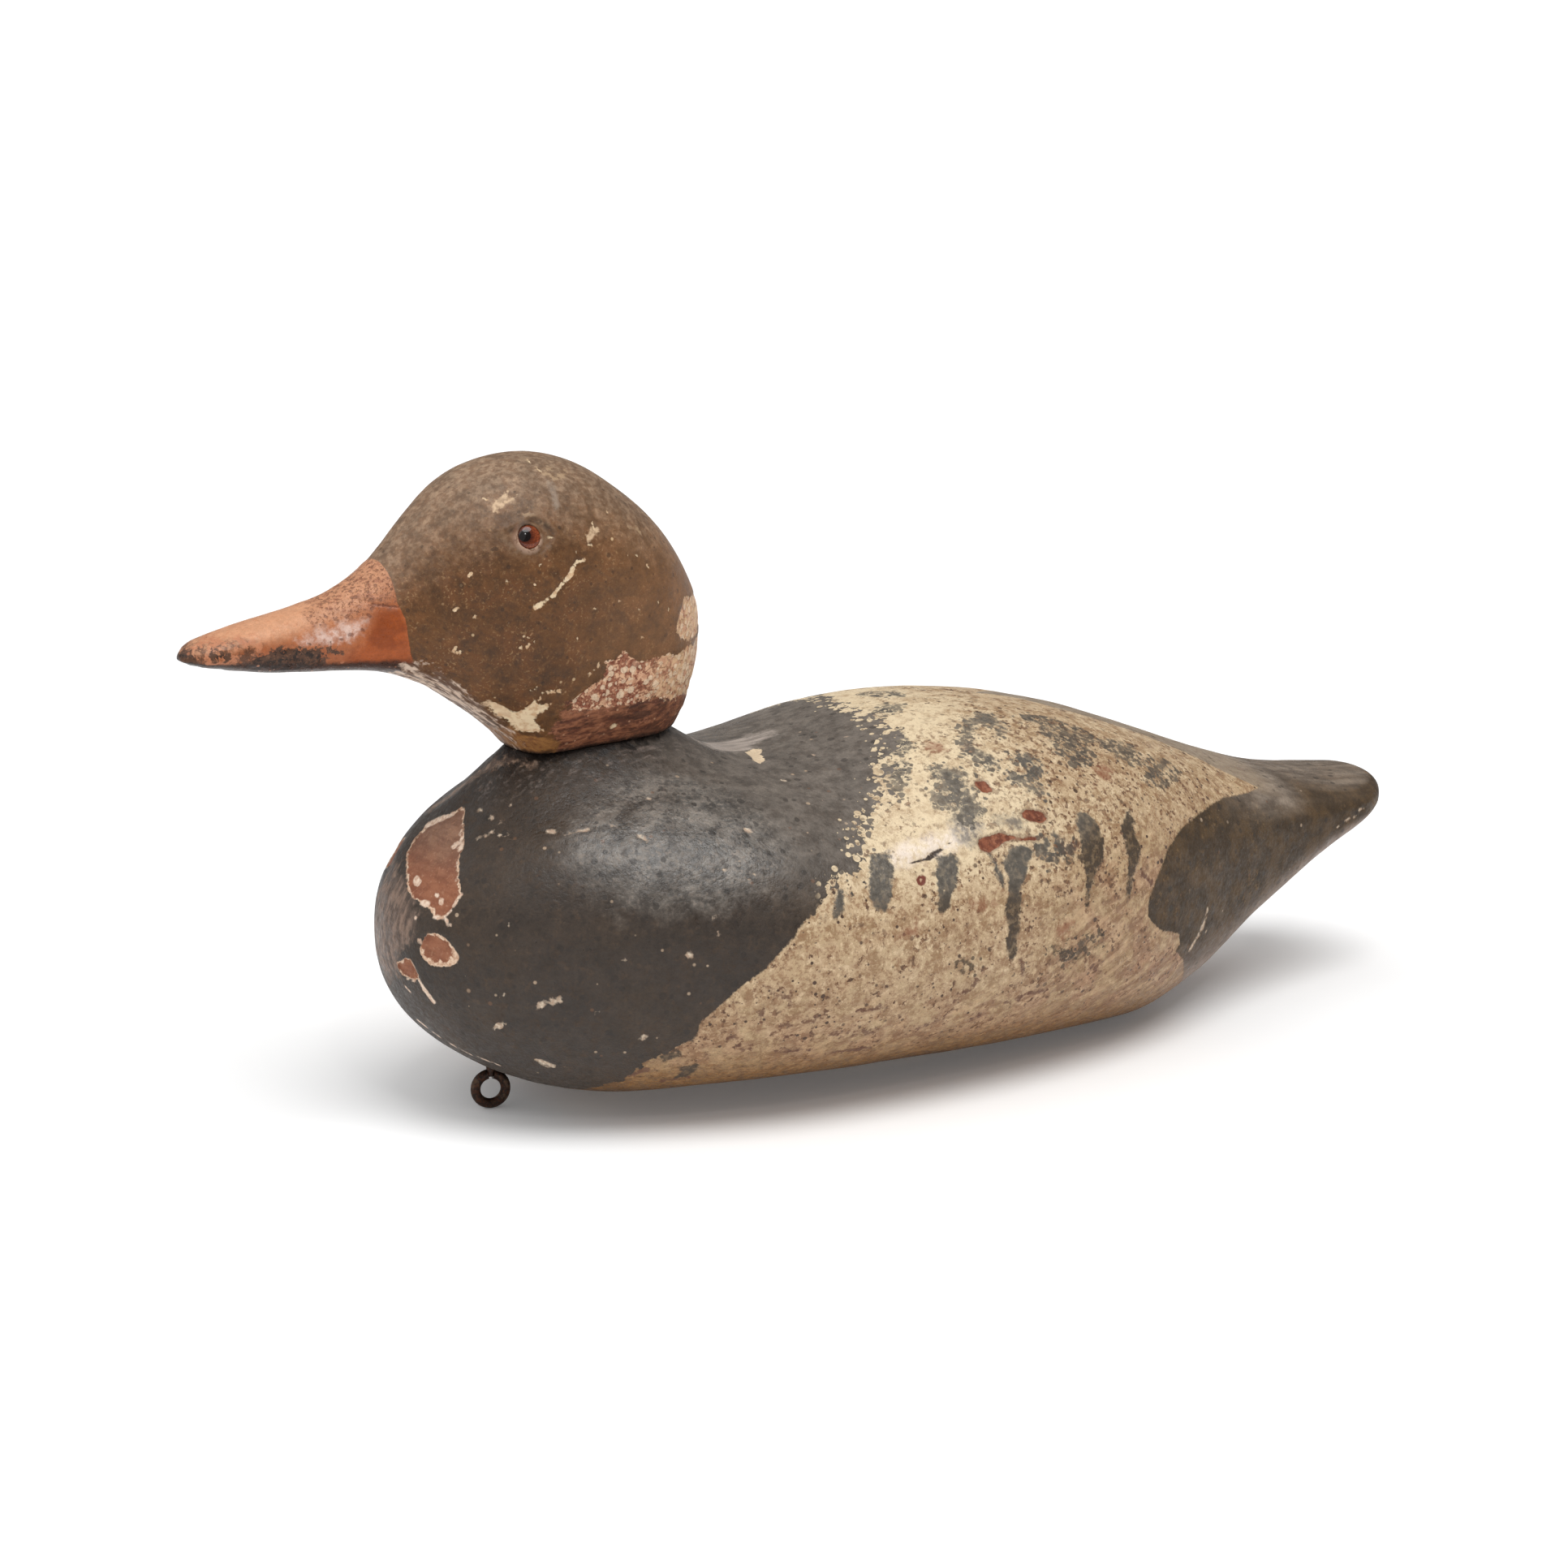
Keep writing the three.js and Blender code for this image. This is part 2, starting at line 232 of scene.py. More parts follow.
def skin_mesh(name, rings, fields, ends=None):
    """A closed mesh over rings between two end points. Fields are one number a point."""
    stations, sides = rings.shape[:2]
    first, last = ends or (rings[0].mean(axis=0), rings[-1].mean(axis=0))
    points = to_row(np.concatenate([[first], rings.reshape(-1, 3), [last]]))
    end = len(points) - 1
    faces = []
    for j in range(sides):
        k = (j + 1) % sides
        faces.append((0, 1 + k, 1 + j))
        faces.append((end, 1 + (stations - 1) * sides + j, 1 + (stations - 1) * sides + k))
    for i in range(stations - 1):
        a = 1 + i * sides
        b = a + sides
        for j in range(sides):
            k = (j + 1) % sides
            faces.append((a + j, a + k, b + k, b + j))
    mesh = bpy.data.meshes.new(name)
    mesh.from_pydata(points.tolist(), [], faces)
    mesh.polygons.foreach_set("use_smooth", [True] * len(mesh.polygons))
    for field, values in fields.items():
        flat = np.concatenate([[values[0].mean()], values.reshape(-1), [values[-1].mean()]])
        mesh.attributes.new(field, "FLOAT", "POINT").data.foreach_set("value", flat.astype(np.float32))
    mesh.update()
    return mesh


def to_row(points):
    """From the bench to where the decoy stands, in metres: tilted on its line eye, breast in front."""
    x, y, z = points[..., 0] - REAR_CONTACT_X, points[..., 1], points[..., 2]
    c, s = math.cos(REST_TILT), math.sin(REST_TILT)
    placed = np.stack([REAR_CONTACT_X - BREAST_TO_CENTRE + x * c + z * s, y, z * c - x * s], axis=-1)
    return placed * 0.001


def show(name, mesh, finish):
    piece = bpy.data.objects.new(name, mesh)
    bpy.context.scene.collection.objects.link(piece)
    mesh.materials.clear()
    mesh.materials.append(finish)
    return piece


# Painted areas and damage, as distance along from the breast front and girth from the back's centre.
# The left side's points were picked in the photograph and worked back onto the fitted skin.
BREAST_EDGE = [
    (45, 190), (46, 166), (51, 142), (55, 131), (58, 125), (62, 122), (67, 121), (68, 114), (73, 110),
    (78, 106), (84, 103), (90, 97), (98, 88), (107, 81), (118, 76), (122, 67), (128, 59), (138, 52),
    (145, 40), (158, 27), (159, 8), (159, -8), (164, -22), (160, -34), (151, -42), (143, -55),
    (134, -60), (124, -70), (116, -77), (104, -84), (95, -94), (88, -99), (78, -109), (69, -117),
    (60, -124), (54, -135), (49, -150), (45, -190), (-60, -260), (-60, 260)]
RUMP_EDGE = [
    (206, -3), (220, 3), (227, 10), (243, 16), (258, 18), (269, 22), (279, 26), (295, 30), (288, 35),
    (273, 43), (256, 56), (244, 66), (235, 76), (229, 86), (225, 94), (225, 99), (228, 101), (233, 102),
    (242, 100), (244, 103), (242, 106), (249, 107), (259, 115), (263, 130), (264, 150), (264, 300),
    (560, 300), (560, -300), (264, -300), (262, -150), (258, -128), (250, -112), (240, -104),
    (230, -103), (223, -96), (226, -84), (234, -73), (246, -61), (262, -50), (280, -39), (297, -31),
    (279, -27), (262, -22), (243, -19), (227, -14), (214, -8)]
TICKS_LEFT = [
    [(109, 80), (111, 81), (109, 86), (106, 89), (105, 87), (107, 83)],
    [(123, 71), (130, 71), (129, 76), (126, 84), (123, 89), (120, 88), (118, 84), (120, 78)],
    [(144, 78), (149, 78), (152, 80), (150, 84), (149, 87), (146, 90), (145, 93), (142, 94), (140, 92),
     (142, 88), (142, 83)],
    [(170, 81), (175, 80), (179, 82), (177, 85), (175, 88), (172.8, 91), (171, 94), (171.8, 97),
     (170.3, 101), (171, 105), (169.6, 108.4), (170.6, 111.5), (168.8, 115), (166.6, 113.6), (165.6, 108.5),
     (166.4, 104), (165.2, 100), (166.4, 95), (167.6, 88), (166, 85)],
    [(162, 81), (163, 81), (166, 89), (165, 92), (163, 87)],
    [(200, 70), (203, 70), (206, 72), (207, 76), (207, 80), (205, 85), (201, 90), (199, 96), (197, 100),
     (197, 94), (198, 89), (197, 84), (198, 78), (198, 73)],
    [(220, 67), (222, 66), (223, 70), (221, 72), (222, 75), (223, 78), (221, 83), (218, 88), (216, 94),
     (214, 98), (215, 90), (216, 83), (216, 79), (216, 73)],
    [(67, 133), (71.5, 132.5), (72.5, 137), (71, 141.5), (67.5, 141), (68.5, 137)],
    [(59.5, 123.5), (64, 123), (65, 126.5), (61, 127.5)]]
SCUMBLES_LEFT = [
    [(173, 39), (178, 33), (184, 26), (190, 23), (194, 23), (194, 29), (192, 35), (189, 39), (187, 38),
     (190, 33), (188, 31), (185, 30), (180, 35), (176, 40), (176, 43), (178, 46), (179, 50), (178, 54),
     (175, 54), (174, 50), (173, 46), (171, 43)],
    [(184, 49), (188, 48), (193, 48), (195, 51), (194, 55), (191, 57), (186, 60), (190, 62), (187, 64),
     (184, 62), (181, 59), (179, 57), (181, 54), (182, 56), (185, 57), (188, 55), (187, 52), (185, 52)],
    [(210, 29), (216, 25), (219, 26), (216, 32), (222, 29), (225, 30), (226, 33), (222, 40), (216, 46),
     (215, 50), (211, 52), (209, 50), (206, 49), (206, 46), (205, 42), (209, 38), (207, 37), (207, 34)],
    [(229, 35), (235, 34), (240, 35), (240, 39), (238, 44), (234, 46), (230, 45), (229, 41), (226, 40)],
    [(241, 43), (249, 38), (254, 37), (255, 40), (249, 46), (241, 52), (236, 53), (240, 49), (239, 46)],
    [(157, 48), (161, 48), (164, 50), (167, 54), (164, 58), (165, 62), (166, 65), (163, 70), (159, 71),
     (157, 69), (157, 66), (154, 63), (151, 61), (151, 58), (154, 56), (157, 53)],
    [(156, 27), (159, 27), (158, 32), (157, 36), (152, 38), (151, 35)],
    [(148, 39), (151, 41), (150, 45), (147, 50), (143, 52), (142, 50)],
    [(164, 4), (169, 2), (172, 6), (170, 9), (165, 13), (161, 12)],
    [(206, 23), (212, 24), (208, 28), (205, 27)],
    [(190, 81), (195, 80), (195, 84), (190, 86)],
    [(180, 80.5), (185, 79.6), (188, 77.5), (191, 80), (189, 84), (184, 86), (181, 84)],
    [(183, 111.5), (188, 113.5), (193, 113), (197, 110.5), (204, 108), (205, 109.5), (199, 112.5),
     (195, 115), (191, 117), (188, 116), (185, 113.5)],
    [(148, 111), (151, 111), (154, 113.5), (152, 114.5), (149, 113.5)]]
GRIMY_FLANK = [(152, 28), (200, 16), (236, 28), (230, 62), (214, 98), (184, 102), (158, 92), (150, 60)]
KEPT_SCUMBLES = SCUMBLES_LEFT[:2] + [SCUMBLES_LEFT[5]]
SMUDGES_LEFT = [
    [(156, 66), (164, 67), (163, 73), (161, 77), (157, 78), (153, 75), (153, 70)],
    [(168, 71), (172, 70), (176, 71), (178, 73), (177, 75), (173, 75), (168, 73)]]
# A whitish spot on the cream near the first ticks: a painted highlight, where the paint is also glossier.
PALE_SHINE = [(124, 74), (134, 70), (146, 71), (158, 70), (163, 73), (155, 77), (143, 77), (131, 77)]
RED_CHIPS = [
    [(167.5, 57.1), (169.4, 57), (171.8, 57.4), (171.8, 59.3), (172.2, 61.3), (169.9, 61.9), (168, 60.5)],
    [(177.9, 70.4), (180.7, 69.2), (184, 69.4), (186.4, 70.5), (187.4, 72.7), (185, 73.9), (181.2, 73.3),
     (178.4, 72.2)],
    [(160, 76.7), (162.3, 75.7), (165.1, 75.7), (168.4, 75.5), (170.8, 76.8), (175.1, 77.5),
     (179.3, 77.6), (183.6, 79.1), (180.3, 79.4), (176, 79.2), (172.2, 78.5), (169.4, 78.4),
     (166.6, 79.8), (162.8, 80.9), (160.4, 80.2), (159.5, 78.5)],
    [(150, -58), (156, -56), (161, -60), (157, -63), (151, -62)],
    [(186, -74), (194, -72), (201, -75), (195, -78), (188, -77)]]
RED_STAINS = [
    [(129, 95), (133, 94), (135, 96), (131, 98), (127, 97)],
    [(152, 94), (158, 94), (162, 96), (158, 97), (152, 95)],
    [(170, 43), (177, 38), (177, 42), (170, 46)],
    [(162, 36), (167, 37), (167, 41), (161, 43)],
    [(215, 52), (221, 49), (224, 52), (217, 58), (213, 58)],
    [(185, 106), (189, 104), (193, 105), (190, 108), (185, 110)],
    [(130, -112), (142, -109), (148, -112), (138, -117)],
    [(196, -98), (204, -94), (209, -97), (203, -102)]]
BROWN_MARKS = [
    (108.5, 126.3, 113, 127, 0.8), (115, 126.8, 123.6, 128.1, 0.9), (91.2, 121.9, 97, 121, 0.55),
    (98, 121, 102.5, 120.2, 0.6), (84.7, 108.3, 86.7, 110.7, 0.6), (86.7, 110.7, 92.4, 110.2, 0.6),
    (115.5, 118.2, 124.5, 118.4, 0.55), (147.3, 125.4, 156.2, 119, 0.6), (158.6, 134.9, 161.4, 132.7, 0.7),
    (199.6, 117.1, 210.9, 122.1, 0.35), (76, 110.6, 76.5, 111, 0.6), (93.7, 125.5, 94.2, 126, 0.5),
    (189.5, 82, 195, 82, 1.4), (249.8, 47.1, 254.2, 49, 0.3), (254.2, 49, 262.3, 49.4, 0.3),
    (194.9, 54.6, 200.6, 58.2, 0.4), (160, 74, 166, 90, 0.3), (172, 115, 175, 121, 0.6),
    (55, 131, 58.5, 130, 1.5), (77, 122, 79, 125, 0.9), (84, 116, 85, 119, 0.8),
    (72, 128, 73, 130, 0.7), (90, 112, 93, 114, 0.7), (81, 129, 85, 130, 0.7), (66, 141, 72, 143, 0.8),
    (94, 132, 104, 133, 0.8), (112, 136, 126, 137, 0.7), (138, 132, 148, 130, 0.6),
    (170, 130, 184, 127, 0.7), (230, 92, 233, 96, 0.9), (222, 86, 226, 88, 0.7), (120, -96, 132, -99, 0.7),
    (170, -110, 181, -107, 0.6)]
PRIMER_CHIPS = [
    (35, 33, 37, 36, 0.5), (39, 39, 45, 42, 0.45), (57, 51, 58.5, 54, 0.55), (51, 44, 52, 45, 0.4),
    (26, 78, 27, 80, 0.7), (28.4, 80, 31, 83, 0.65), (18.2, 76, 19.2, 78, 0.9), (53, 113, 53.5, 113.5, 0.9),
    (30, 106, 35, 115, 0.55), (18, 65, 18.2, 65.3, 0.5), (19, 45, 19.3, 45.4, 0.4),
    (63, 91, 63.5, 91.5, 0.9), (88, 59, 88.5, 59.5, 0.9), (114, 32, 114.5, 32.5, 0.8),
    (20.4, 15, 20.8, 15.5, 0.45), (22.1, 16.3, 22.4, 16.8, 0.4), (23.6, 17.5, 24, 18, 0.45),
    (24.5, 20.5, 24.8, 21, 0.35), (26.1, 23, 26.4, 23.4, 0.4), (24.5, 7.4, 25, 9, 0.4),
    (25.5, 13.4, 25.8, 14.4, 0.5), (26.1, 17.4, 26.4, 18, 0.4), (30.5, 16.2, 30.9, 16.6, 0.35),
    (66, 38, 66.6, 39, 0.45), (71, 88, 71.4, 88.4, 0.5), (76, 71, 76.4, 71.4, 0.6),
    (82, 76, 82.4, 76.4, 0.5), (84, 74, 84.4, 74.4, 0.5), (70, 83, 70.4, 83.4, 0.5),
    (37.9, 116, 38.2, 116.6, 0.35), (132, 20, 132.4, 20.4, 0.6), (146, 17, 146.4, 17.4, 0.6),
    (40, 96, 40.4, 96.4, 0.6), (46, 84, 46.4, 84.4, 0.5), (258.5, 85.7, 257.6, 91.1, 0.5),
    (257.6, 91.1, 256.3, 93.8, 0.8), (256.3, 93.8, 253.6, 99.6, 0.55), (253.6, 99.6, 252, 103.1, 0.7),
    (329, 37, 330, 36.5, 0.3), (332.6, 34.6, 334.4, 33.6, 0.42), (336.4, 33.4, 337.4, 32.4, 0.34),
    (338.8, 30.6, 341, 29.6, 0.4), (41, -42, 43.6, -43.8, 0.8), (45.2, -44.8, 46.4, -45.4, 0.6),
    (72, -61, 73.6, -60, 0.7), (76, -58.8, 77.4, -58.2, 0.5), (30, -84, 32.4, -86.4, 0.9),
    (96, -36, 99, -33, 1.1), (61, -98, 61.4, -98.4, 1.0), (112, -28, 112.4, -28.4, 0.8),
    (271, -75, 269.6, -79, 0.5), (268.6, -81.5, 267.4, -85.5, 0.65), (88, -70, 88.4, -70.4, 0.8),
    (25, -40, 25.4, -40.4, 0.8)]
BACK_CHIP = [(116.5, 6), (119, 4.4), (122.4, 3), (122.9, 6), (120, 9.6), (117.8, 15.5), (114.6, 18.6),
             (114, 15.2), (115.6, 11)]
BACK_SCUFF = [(92, -6), (120, -12), (136, -10), (134, -3), (126, -1), (119, 6), (108, 7.5), (99, 9.5)]
# Chips on the breast front, as y to the side and z up, the wood bared in them and the primer left.
BREAST_CHIPS = [
    [(12.3, 79), (9.3, 81.2), (5.1, 82.6), (2.2, 84.2), (0, 86.3), (-2.3, 85.9), (-4.2, 84.2),
     (-7.1, 81.8), (-10.5, 79.4), (-12.6, 77.3), (-12.7, 76.1), (-15.8, 73.1), (-18, 70.5),
     (-20.7, 68), (-22.2, 66.2), (-22, 64), (-21.4, 61.6), (-20.6, 59.9), (-20.1, 59.2), (-18.6, 58.3),
     (-17.2, 57.9), (-15.9, 59.4), (-13.9, 60.9), (-11.5, 60.8), (-9.6, 61.8), (-6.3, 62.1),
     (-3.4, 63), (1, 65.8), (5.8, 68.7), (10.7, 71.3), (12.6, 73.6), (13.2, 76)],
    [(-16.1, 53.9), (-19.2, 54.3), (-22.1, 53.3), (-24.3, 51.3), (-25.9, 48.6), (-25.2, 46.4),
     (-23.2, 45.1), (-20.3, 44.3), (-17.6, 44.4), (-15, 46.2), (-13.3, 47.9), (-14.2, 50.3), (-14.9, 52.5)],
    [(-7.7, 44.8), (-9.7, 44.8), (-11.6, 42.8), (-12.5, 40.3), (-12, 38.9), (-8.6, 38), (-6.1, 38.2),
     (-3, 39.5), (-2, 42)],
    [(18.5, 66.5), (20, 64.2), (23, 63.6), (26.5, 61.6), (29, 63.4), (31.4, 66), (29.6, 69), (28.4, 71.6),
     (25, 71.2), (22.4, 73), (20.6, 71.4), (19.6, 69)]]
BREAST_WOOD = [(-14.6, 52.9), (-19.4, 53.5), (-22.8, 52), (-23.8, 49.2), (-22.8, 46.4), (-19, 45.4),
               (-15.2, 47), (-13.8, 50.2)]
BREAST_CREAM = [
    (12.7, 78.5, 8.3, 81, 0.8), (8.3, 81, 4.7, 82.5, 0.7), (4.7, 82.5, 1.8, 84, 0.5),
    (-6.6, 81, -7.2, 80.4, 0.5), (-9, 79.6, -9.4, 79, 0.65), (-10.6, 78, -11.6, 77, 0.75),
    (-8, 77.4, -9, 77.3, 0.7), (-14.1, 73.9, -14.5, 73.2, 0.45), (-17.6, 70.3, -18.1, 69.6, 0.4),
    (-21.9, 66, -21.5, 63, 0.6), (-21.4, 61.6, -20, 59.3, 0.35), (-20, 59.3, -22.4, 57.2, 0.5),
    (-10.8, 61.9, -12.7, 61.7, 0.9), (-17, 58.8, -18.4, 59, 0.6), (-16.8, 63.7, -17.1, 62.9, 0.7),
    (-14, 64.8, -15, 64.6, 0.5), (-2.5, 66.9, -5, 66.3, 1.0), (-13.2, 51.4, -13.5, 50.6, 0.6),
    (-10.2, 57.9, -10.4, 57, 0.5), (-12.6, 38.6, -13.4, 36.6, 0.5), (-13.4, 36.6, -15.7, 33, 0.85),
    (-12, 38.9, -12.6, 40.6, 0.4), (-6.1, 38, -11, 38.2, 0.35), (-16, 14, -18, 13, 0.5),
    (-19.4, 12.6, -20, 12, 0.4), (-8, 17, -9.4, 16.2, 0.55), (-11, 15.8, -13.4, 14.2, 0.4),
    (2, 22, -1, 20.6, 0.7), (-2.8, 19.4, -5.2, 18.6, 0.5), (-4, 35, -6.5, 33.4, 0.4)]
BREAST_RUBBED = [(19, 68), (2, 65.5), (-7, 63), (-11, 58), (-11, 52), (-7, 47), (-3, 38), (6, 32), (15, 36),
                 (20, 52)]
BREAST_SCUFF = [(25, -24, 28, -12, 2.2), (28, -12, 31, -7, 2.0), (31, -7, 37, 3, 1.9), (37, 3, 41, 12, 1.4)]
SHOULDER_SHEEN = [(41, 41), (51, 33), (64, 29), (80, 32), (92, 41), (97, 54), (97, 68), (88, 76),
                  (74, 80), (60, 76), (49, 68), (41, 57), (38, 47)]
NAIL_HOLE = (137.2, 82.8, 1.8)
CRACKS = [(133, 77.5, 137, 76.8, 0.25), (137, 76.8, 142, 77.2, 0.3), (142, 76.9, 145, 76.2, 0.85),
          (145, 76.2, 147, 75.7, 0.5), (148, 75.4, 151, 74.8, 0.3), (184, 72.8, 188, 73.4, 0.3),
          (100, 4, 119, 3, 0.3), (160, -78, 176, -76, 0.4)]


def body_rings():
    """The carved block before wear, the distance from the seat, and how much is planed off."""
    back, keel = smooth_curve(BACK_HEIGHT), steady_curve(KEEL_HEIGHT)
    side, widest = smooth_curve(HALF_WIDTH), steady_curve(WIDEST_HEIGHT)

    def section(x):
        middle = widest(x)
        tail = round_end(BODY_LENGTH - x, TAIL_ROUND["edge"])
        above = (back(x) - middle) * round_end(x, BREAST_ROUND["top"]) * tail
        spare = PLANED_OFF * np.clip(1 - keel(x) / 20, 0, 1)
        below = (middle - keel(x) + spare) * round_end(x, BREAST_ROUND["bottom"]) * tail
        half = side(x) * round_end(x, BREAST_ROUND["side"]) * round_end(BODY_LENGTH - x, TAIL_ROUND["side"])
        return half, middle, above, below

    def lower(x):
        return np.full(len(x), BODY_SQUARENESS["lower"])

    rings = carved(BODY_LENGTH, BODY_STATIONS, BODY_SIDES, section, BODY_SQUARENESS["upper"], lower)
    # The mound: flat inside the seat's oval, falling away around it.
    z, mid = rings[..., 2], widest(rings[..., 0])
    r = np.hypot((rings[..., 0] - SEAT["x"]) / (SEAT["length"] / 2), rings[..., 1] / (SEAT["width"] / 2))
    away = np.clip((r - 1) / SEAT["reach"], 0, 1)
    lift = (1 - away) ** SEAT["fall"] * np.clip((z - mid) / 20, 0, 1)
    seat = SEAT["z"] + SEAT["slope"] * (rings[..., 0] - SEAT["x"]) - SEAM_GAP
    rings[..., 2] = z + (seat - z) * lift
    planed = -rings[..., 2]
    return rings, r, planed


body, seat_distance, planed = body_rings()
body[..., 2] = np.maximum(body[..., 2], 0)
girth = girth_of(body)
along, y, z = body[..., 0], body[..., 1], body[..., 2]
normal = grid_normals(body)
worn_edge = lumps(body, 5.0, 3) * 0.7 + lumps(body, 2.2, 4) * 0.4

# What the finish and the relief need to know of each point: mostly how deep it is inside a marked area.
marks = SimpleNamespace()
ticks = TICKS_LEFT + mirrored(TICKS_LEFT, shift=-6, stretch=0.97)
scumbles = SCUMBLES_LEFT + mirrored(SCUMBLES_LEFT[:7] + SCUMBLES_LEFT[8:], shift=9, stretch=1.12)
marks.dark = np.maximum(inside(along, girth, BREAST_EDGE), inside(along, girth, RUMP_EDGE))
marks.tick = inside_any(along, girth, ticks) + 0.3 * worn_edge
marks.scumble = inside_any(along, girth, scumbles)
marks.well_kept = smooth_step(inside_any(along, girth, KEPT_SCUMBLES), -1, 2.5)
marks.red_chip = inside_any(along, girth, RED_CHIPS) + 0.35 * worn_edge
marks.red_stain = inside_any(along, girth, RED_STAINS)
on_front = along < 45
chips = [inside(y, z, outline) for outline in BREAST_CHIPS]
marks.breast_chip = np.where(on_front, np.max(chips, axis=0), FAR_OUTSIDE) + 0.3 * worn_edge
bared = np.maximum(np.max([chips[0], chips[2], chips[3]], axis=0) - 0.4, inside(y, z, BREAST_WOOD))
marks.breast_wood = np.where(on_front, bared, FAR_OUTSIDE) + 0.4 * worn_edge
marks.breast_cream = np.where(on_front, inside_strokes(y, z, BREAST_CREAM), FAR_OUTSIDE)
marks.smudge = inside_any(along, girth, SMUDGES_LEFT + mirrored(SMUDGES_LEFT, shift=9, stretch=1.12))
marks.pale_shine = inside(along, girth, PALE_SHINE)
marks.brown_mark = inside_strokes(along, girth, BROWN_MARKS)
marks.back_chip = inside(along, girth, BACK_CHIP)
marks.back_scuff = inside(along, girth, BACK_SCUFF)
marks.rubbed = np.where(on_front, inside(y, z, BREAST_RUBBED), FAR_OUTSIDE)
marks.primer = inside_strokes(along, girth, PRIMER_CHIPS) + 0.15 * worn_edge
marks.crack = inside_strokes(along, girth, CRACKS)
marks.nail = NAIL_HOLE[2] - np.hypot(along - NAIL_HOLE[0], girth - NAIL_HOLE[1])
marks.seam = (seat_distance - 1) * SEAT["width"] / 2
marks.flat = smooth_step(planed, -0.6, 0.2)
crumbling = smooth_step(along, 88, 112) * smooth_step(-along, -212, -200)
low_crumbling = 0.45 * smooth_step(along, 74, 66) * smooth_step(np.abs(girth), 114, 122)
marks.crumble = np.maximum(crumbling, low_crumbling)
marks.height = z + 2.0 * lumps(body, 16.0, 5)
# How much the paint darkens low down and to the rear: dirt together with painted shade.
marks.aged = (0.4 * smooth_step(along, 160, 215) + 0.46 * smooth_step(-z, -84, -50)
              + 0.39 * smooth_step(-z, -45, -15))
marks.grimy = smooth_step(inside(along, girth, GRIMY_FLANK), -6, 8)
marks.scuff = inside_strokes(along, girth, BREAST_SCUFF)
marks.rump = smooth_step(along, 212, 236)
marks.tail = smooth_step(along, 258, 300)
marks.tail_end = smooth_step(along, 300, 324)
marks.stripe = (smooth_step(along, 190, 210) * smooth_step(-along, -312, -292)
                * smooth_step(-np.abs(girth), -36, -28))
marks.upward = normal[..., 2]
marks.shoulder = smooth_step(inside(along, girth, SHOULDER_SHEEN), -16, 14)
# Lighter grey on upward-facing dark paint behind the neck: dust together with painted top light.
marks.dusty = smooth_step(marks.upward, 0.2, 0.98) * smooth_step(along, 58, 98)

# Hand-cut unevenness, the pits of lost paint, and cracks along the grain.
relief = 0.26 * lumps(body, 30.0, 11) + 0.13 * lumps(body, 12.0, 12) + 0.05 * lumps(body, 4.5, 13)
relief -= 0.2 * smooth_step(marks.breast_chip, -0.3, 0.5) + 0.3 * smooth_step(marks.breast_wood, -0.4, 0.5)
relief -= 0.5 * smooth_step(marks.red_chip, -0.5, 0.5) + 0.3 * smooth_step(marks.back_chip, -0.4, 0.4)
relief -= 0.22 * smooth_step(marks.primer, -0.5, 0.4) + 0.7 * smooth_step(marks.crack, -0.8, 0.1)
relief -= 0.25 * smooth_step(marks.rubbed, -1, 2) * (0.6 + 0.6 * lumps(body * [1, 0.5, 2.5], 6.0, 14))
relief -= 0.9 * smooth_step(marks.nail, -0.3, 0.5) - 0.5 * smooth_step(marks.nail, 0.7, 1.2)
relief += smooth_step(-marks.seam, -9, -2) * smooth_step(marks.seam, -1, 1.5) * 0.4 * lumps(body, 5.0, 15)
relief *= 1 - 0.7 * marks.flat
body = body + normal * relief[..., None]
z = body[..., 2]
body[..., 2] = (z + np.sqrt(z * z + 4 * PLANED_EDGE_WEAR ** 2)) / 2 - PLANED_EDGE_WEAR * marks.flat

body_mesh = skin_mesh("body_carving", body, vars(marks))


def new_finish(name):
    """A material with a plain shader, and its node tree, which add() then builds in."""
    finish = bpy.data.materials.new(name)
    finish.use_nodes = True
    nodes = finish.node_tree.nodes
    nodes.clear()
    shader = nodes.new("ShaderNodeBsdfPrincipled")
    output = nodes.new("ShaderNodeOutputMaterial")
    finish.node_tree.links.new(shader.outputs[0], output.inputs[0])
    return finish, finish.node_tree, shader


class Output:
    """An output of a node. Outputs that are numbers can be added, taken away and multiplied."""

    def __init__(self, socket):
        self.socket = socket

    def __add__(self, other):
        return calc("ADD", self, other)

    def __sub__(self, other):
        return calc("SUBTRACT", self, other)

    def __rsub__(self, other):
        return calc("SUBTRACT", other, self)

    def __mul__(self, other):
        return calc("MULTIPLY", self, other)


def plug(node, plugs):
    """Plugs outputs into a node and sets its other inputs."""
    for name, value in plugs.items():
        if isinstance(value, Output):
            node.id_data.links.new(value.socket, node.inputs[name])
        else:
            node.inputs[name].default_value = value
    return node


def add(kind, plugs, output=0, **settings):
    """One output of a new node in the tree being built."""
    node = tree.nodes.new(kind)
    for setting, value in settings.items():
        setattr(node, setting, value)
    return Output(plug(node, plugs).outputs[output])


def calc(operation, *values, clamp=False):
    return add("ShaderNodeMath", dict(enumerate(values)), operation=operation, use_clamp=clamp)


def most(first, *others):
    for other in others:
        first = calc("MAXIMUM", first, other)
    return first


def share(value, low, high, start=0, end=1):
    """A soft step from start below low to end above high."""
    plugs = {0: value, 1: low, 2: high, 3: start, 4: end}
    return add("ShaderNodeMapRange", plugs, interpolation_type="SMOOTHSTEP")


def tone(colour):
    """An output as it is, or a paint colour from 0 to 255 a channel."""
    if isinstance(colour, Output):
        return colour
    channels = [c / 255 for c in colour]
    return [c / 12.92 if c <= 0.04045 else ((c + 0.055) / 1.055) ** 2.4 for c in channels] + [1.0]


def cover(amount, under, over):
    """One colour laid over another."""
    return add("ShaderNodeMix", {0: amount, 6: tone(under), 7: tone(over)}, 2, data_type="RGBA")


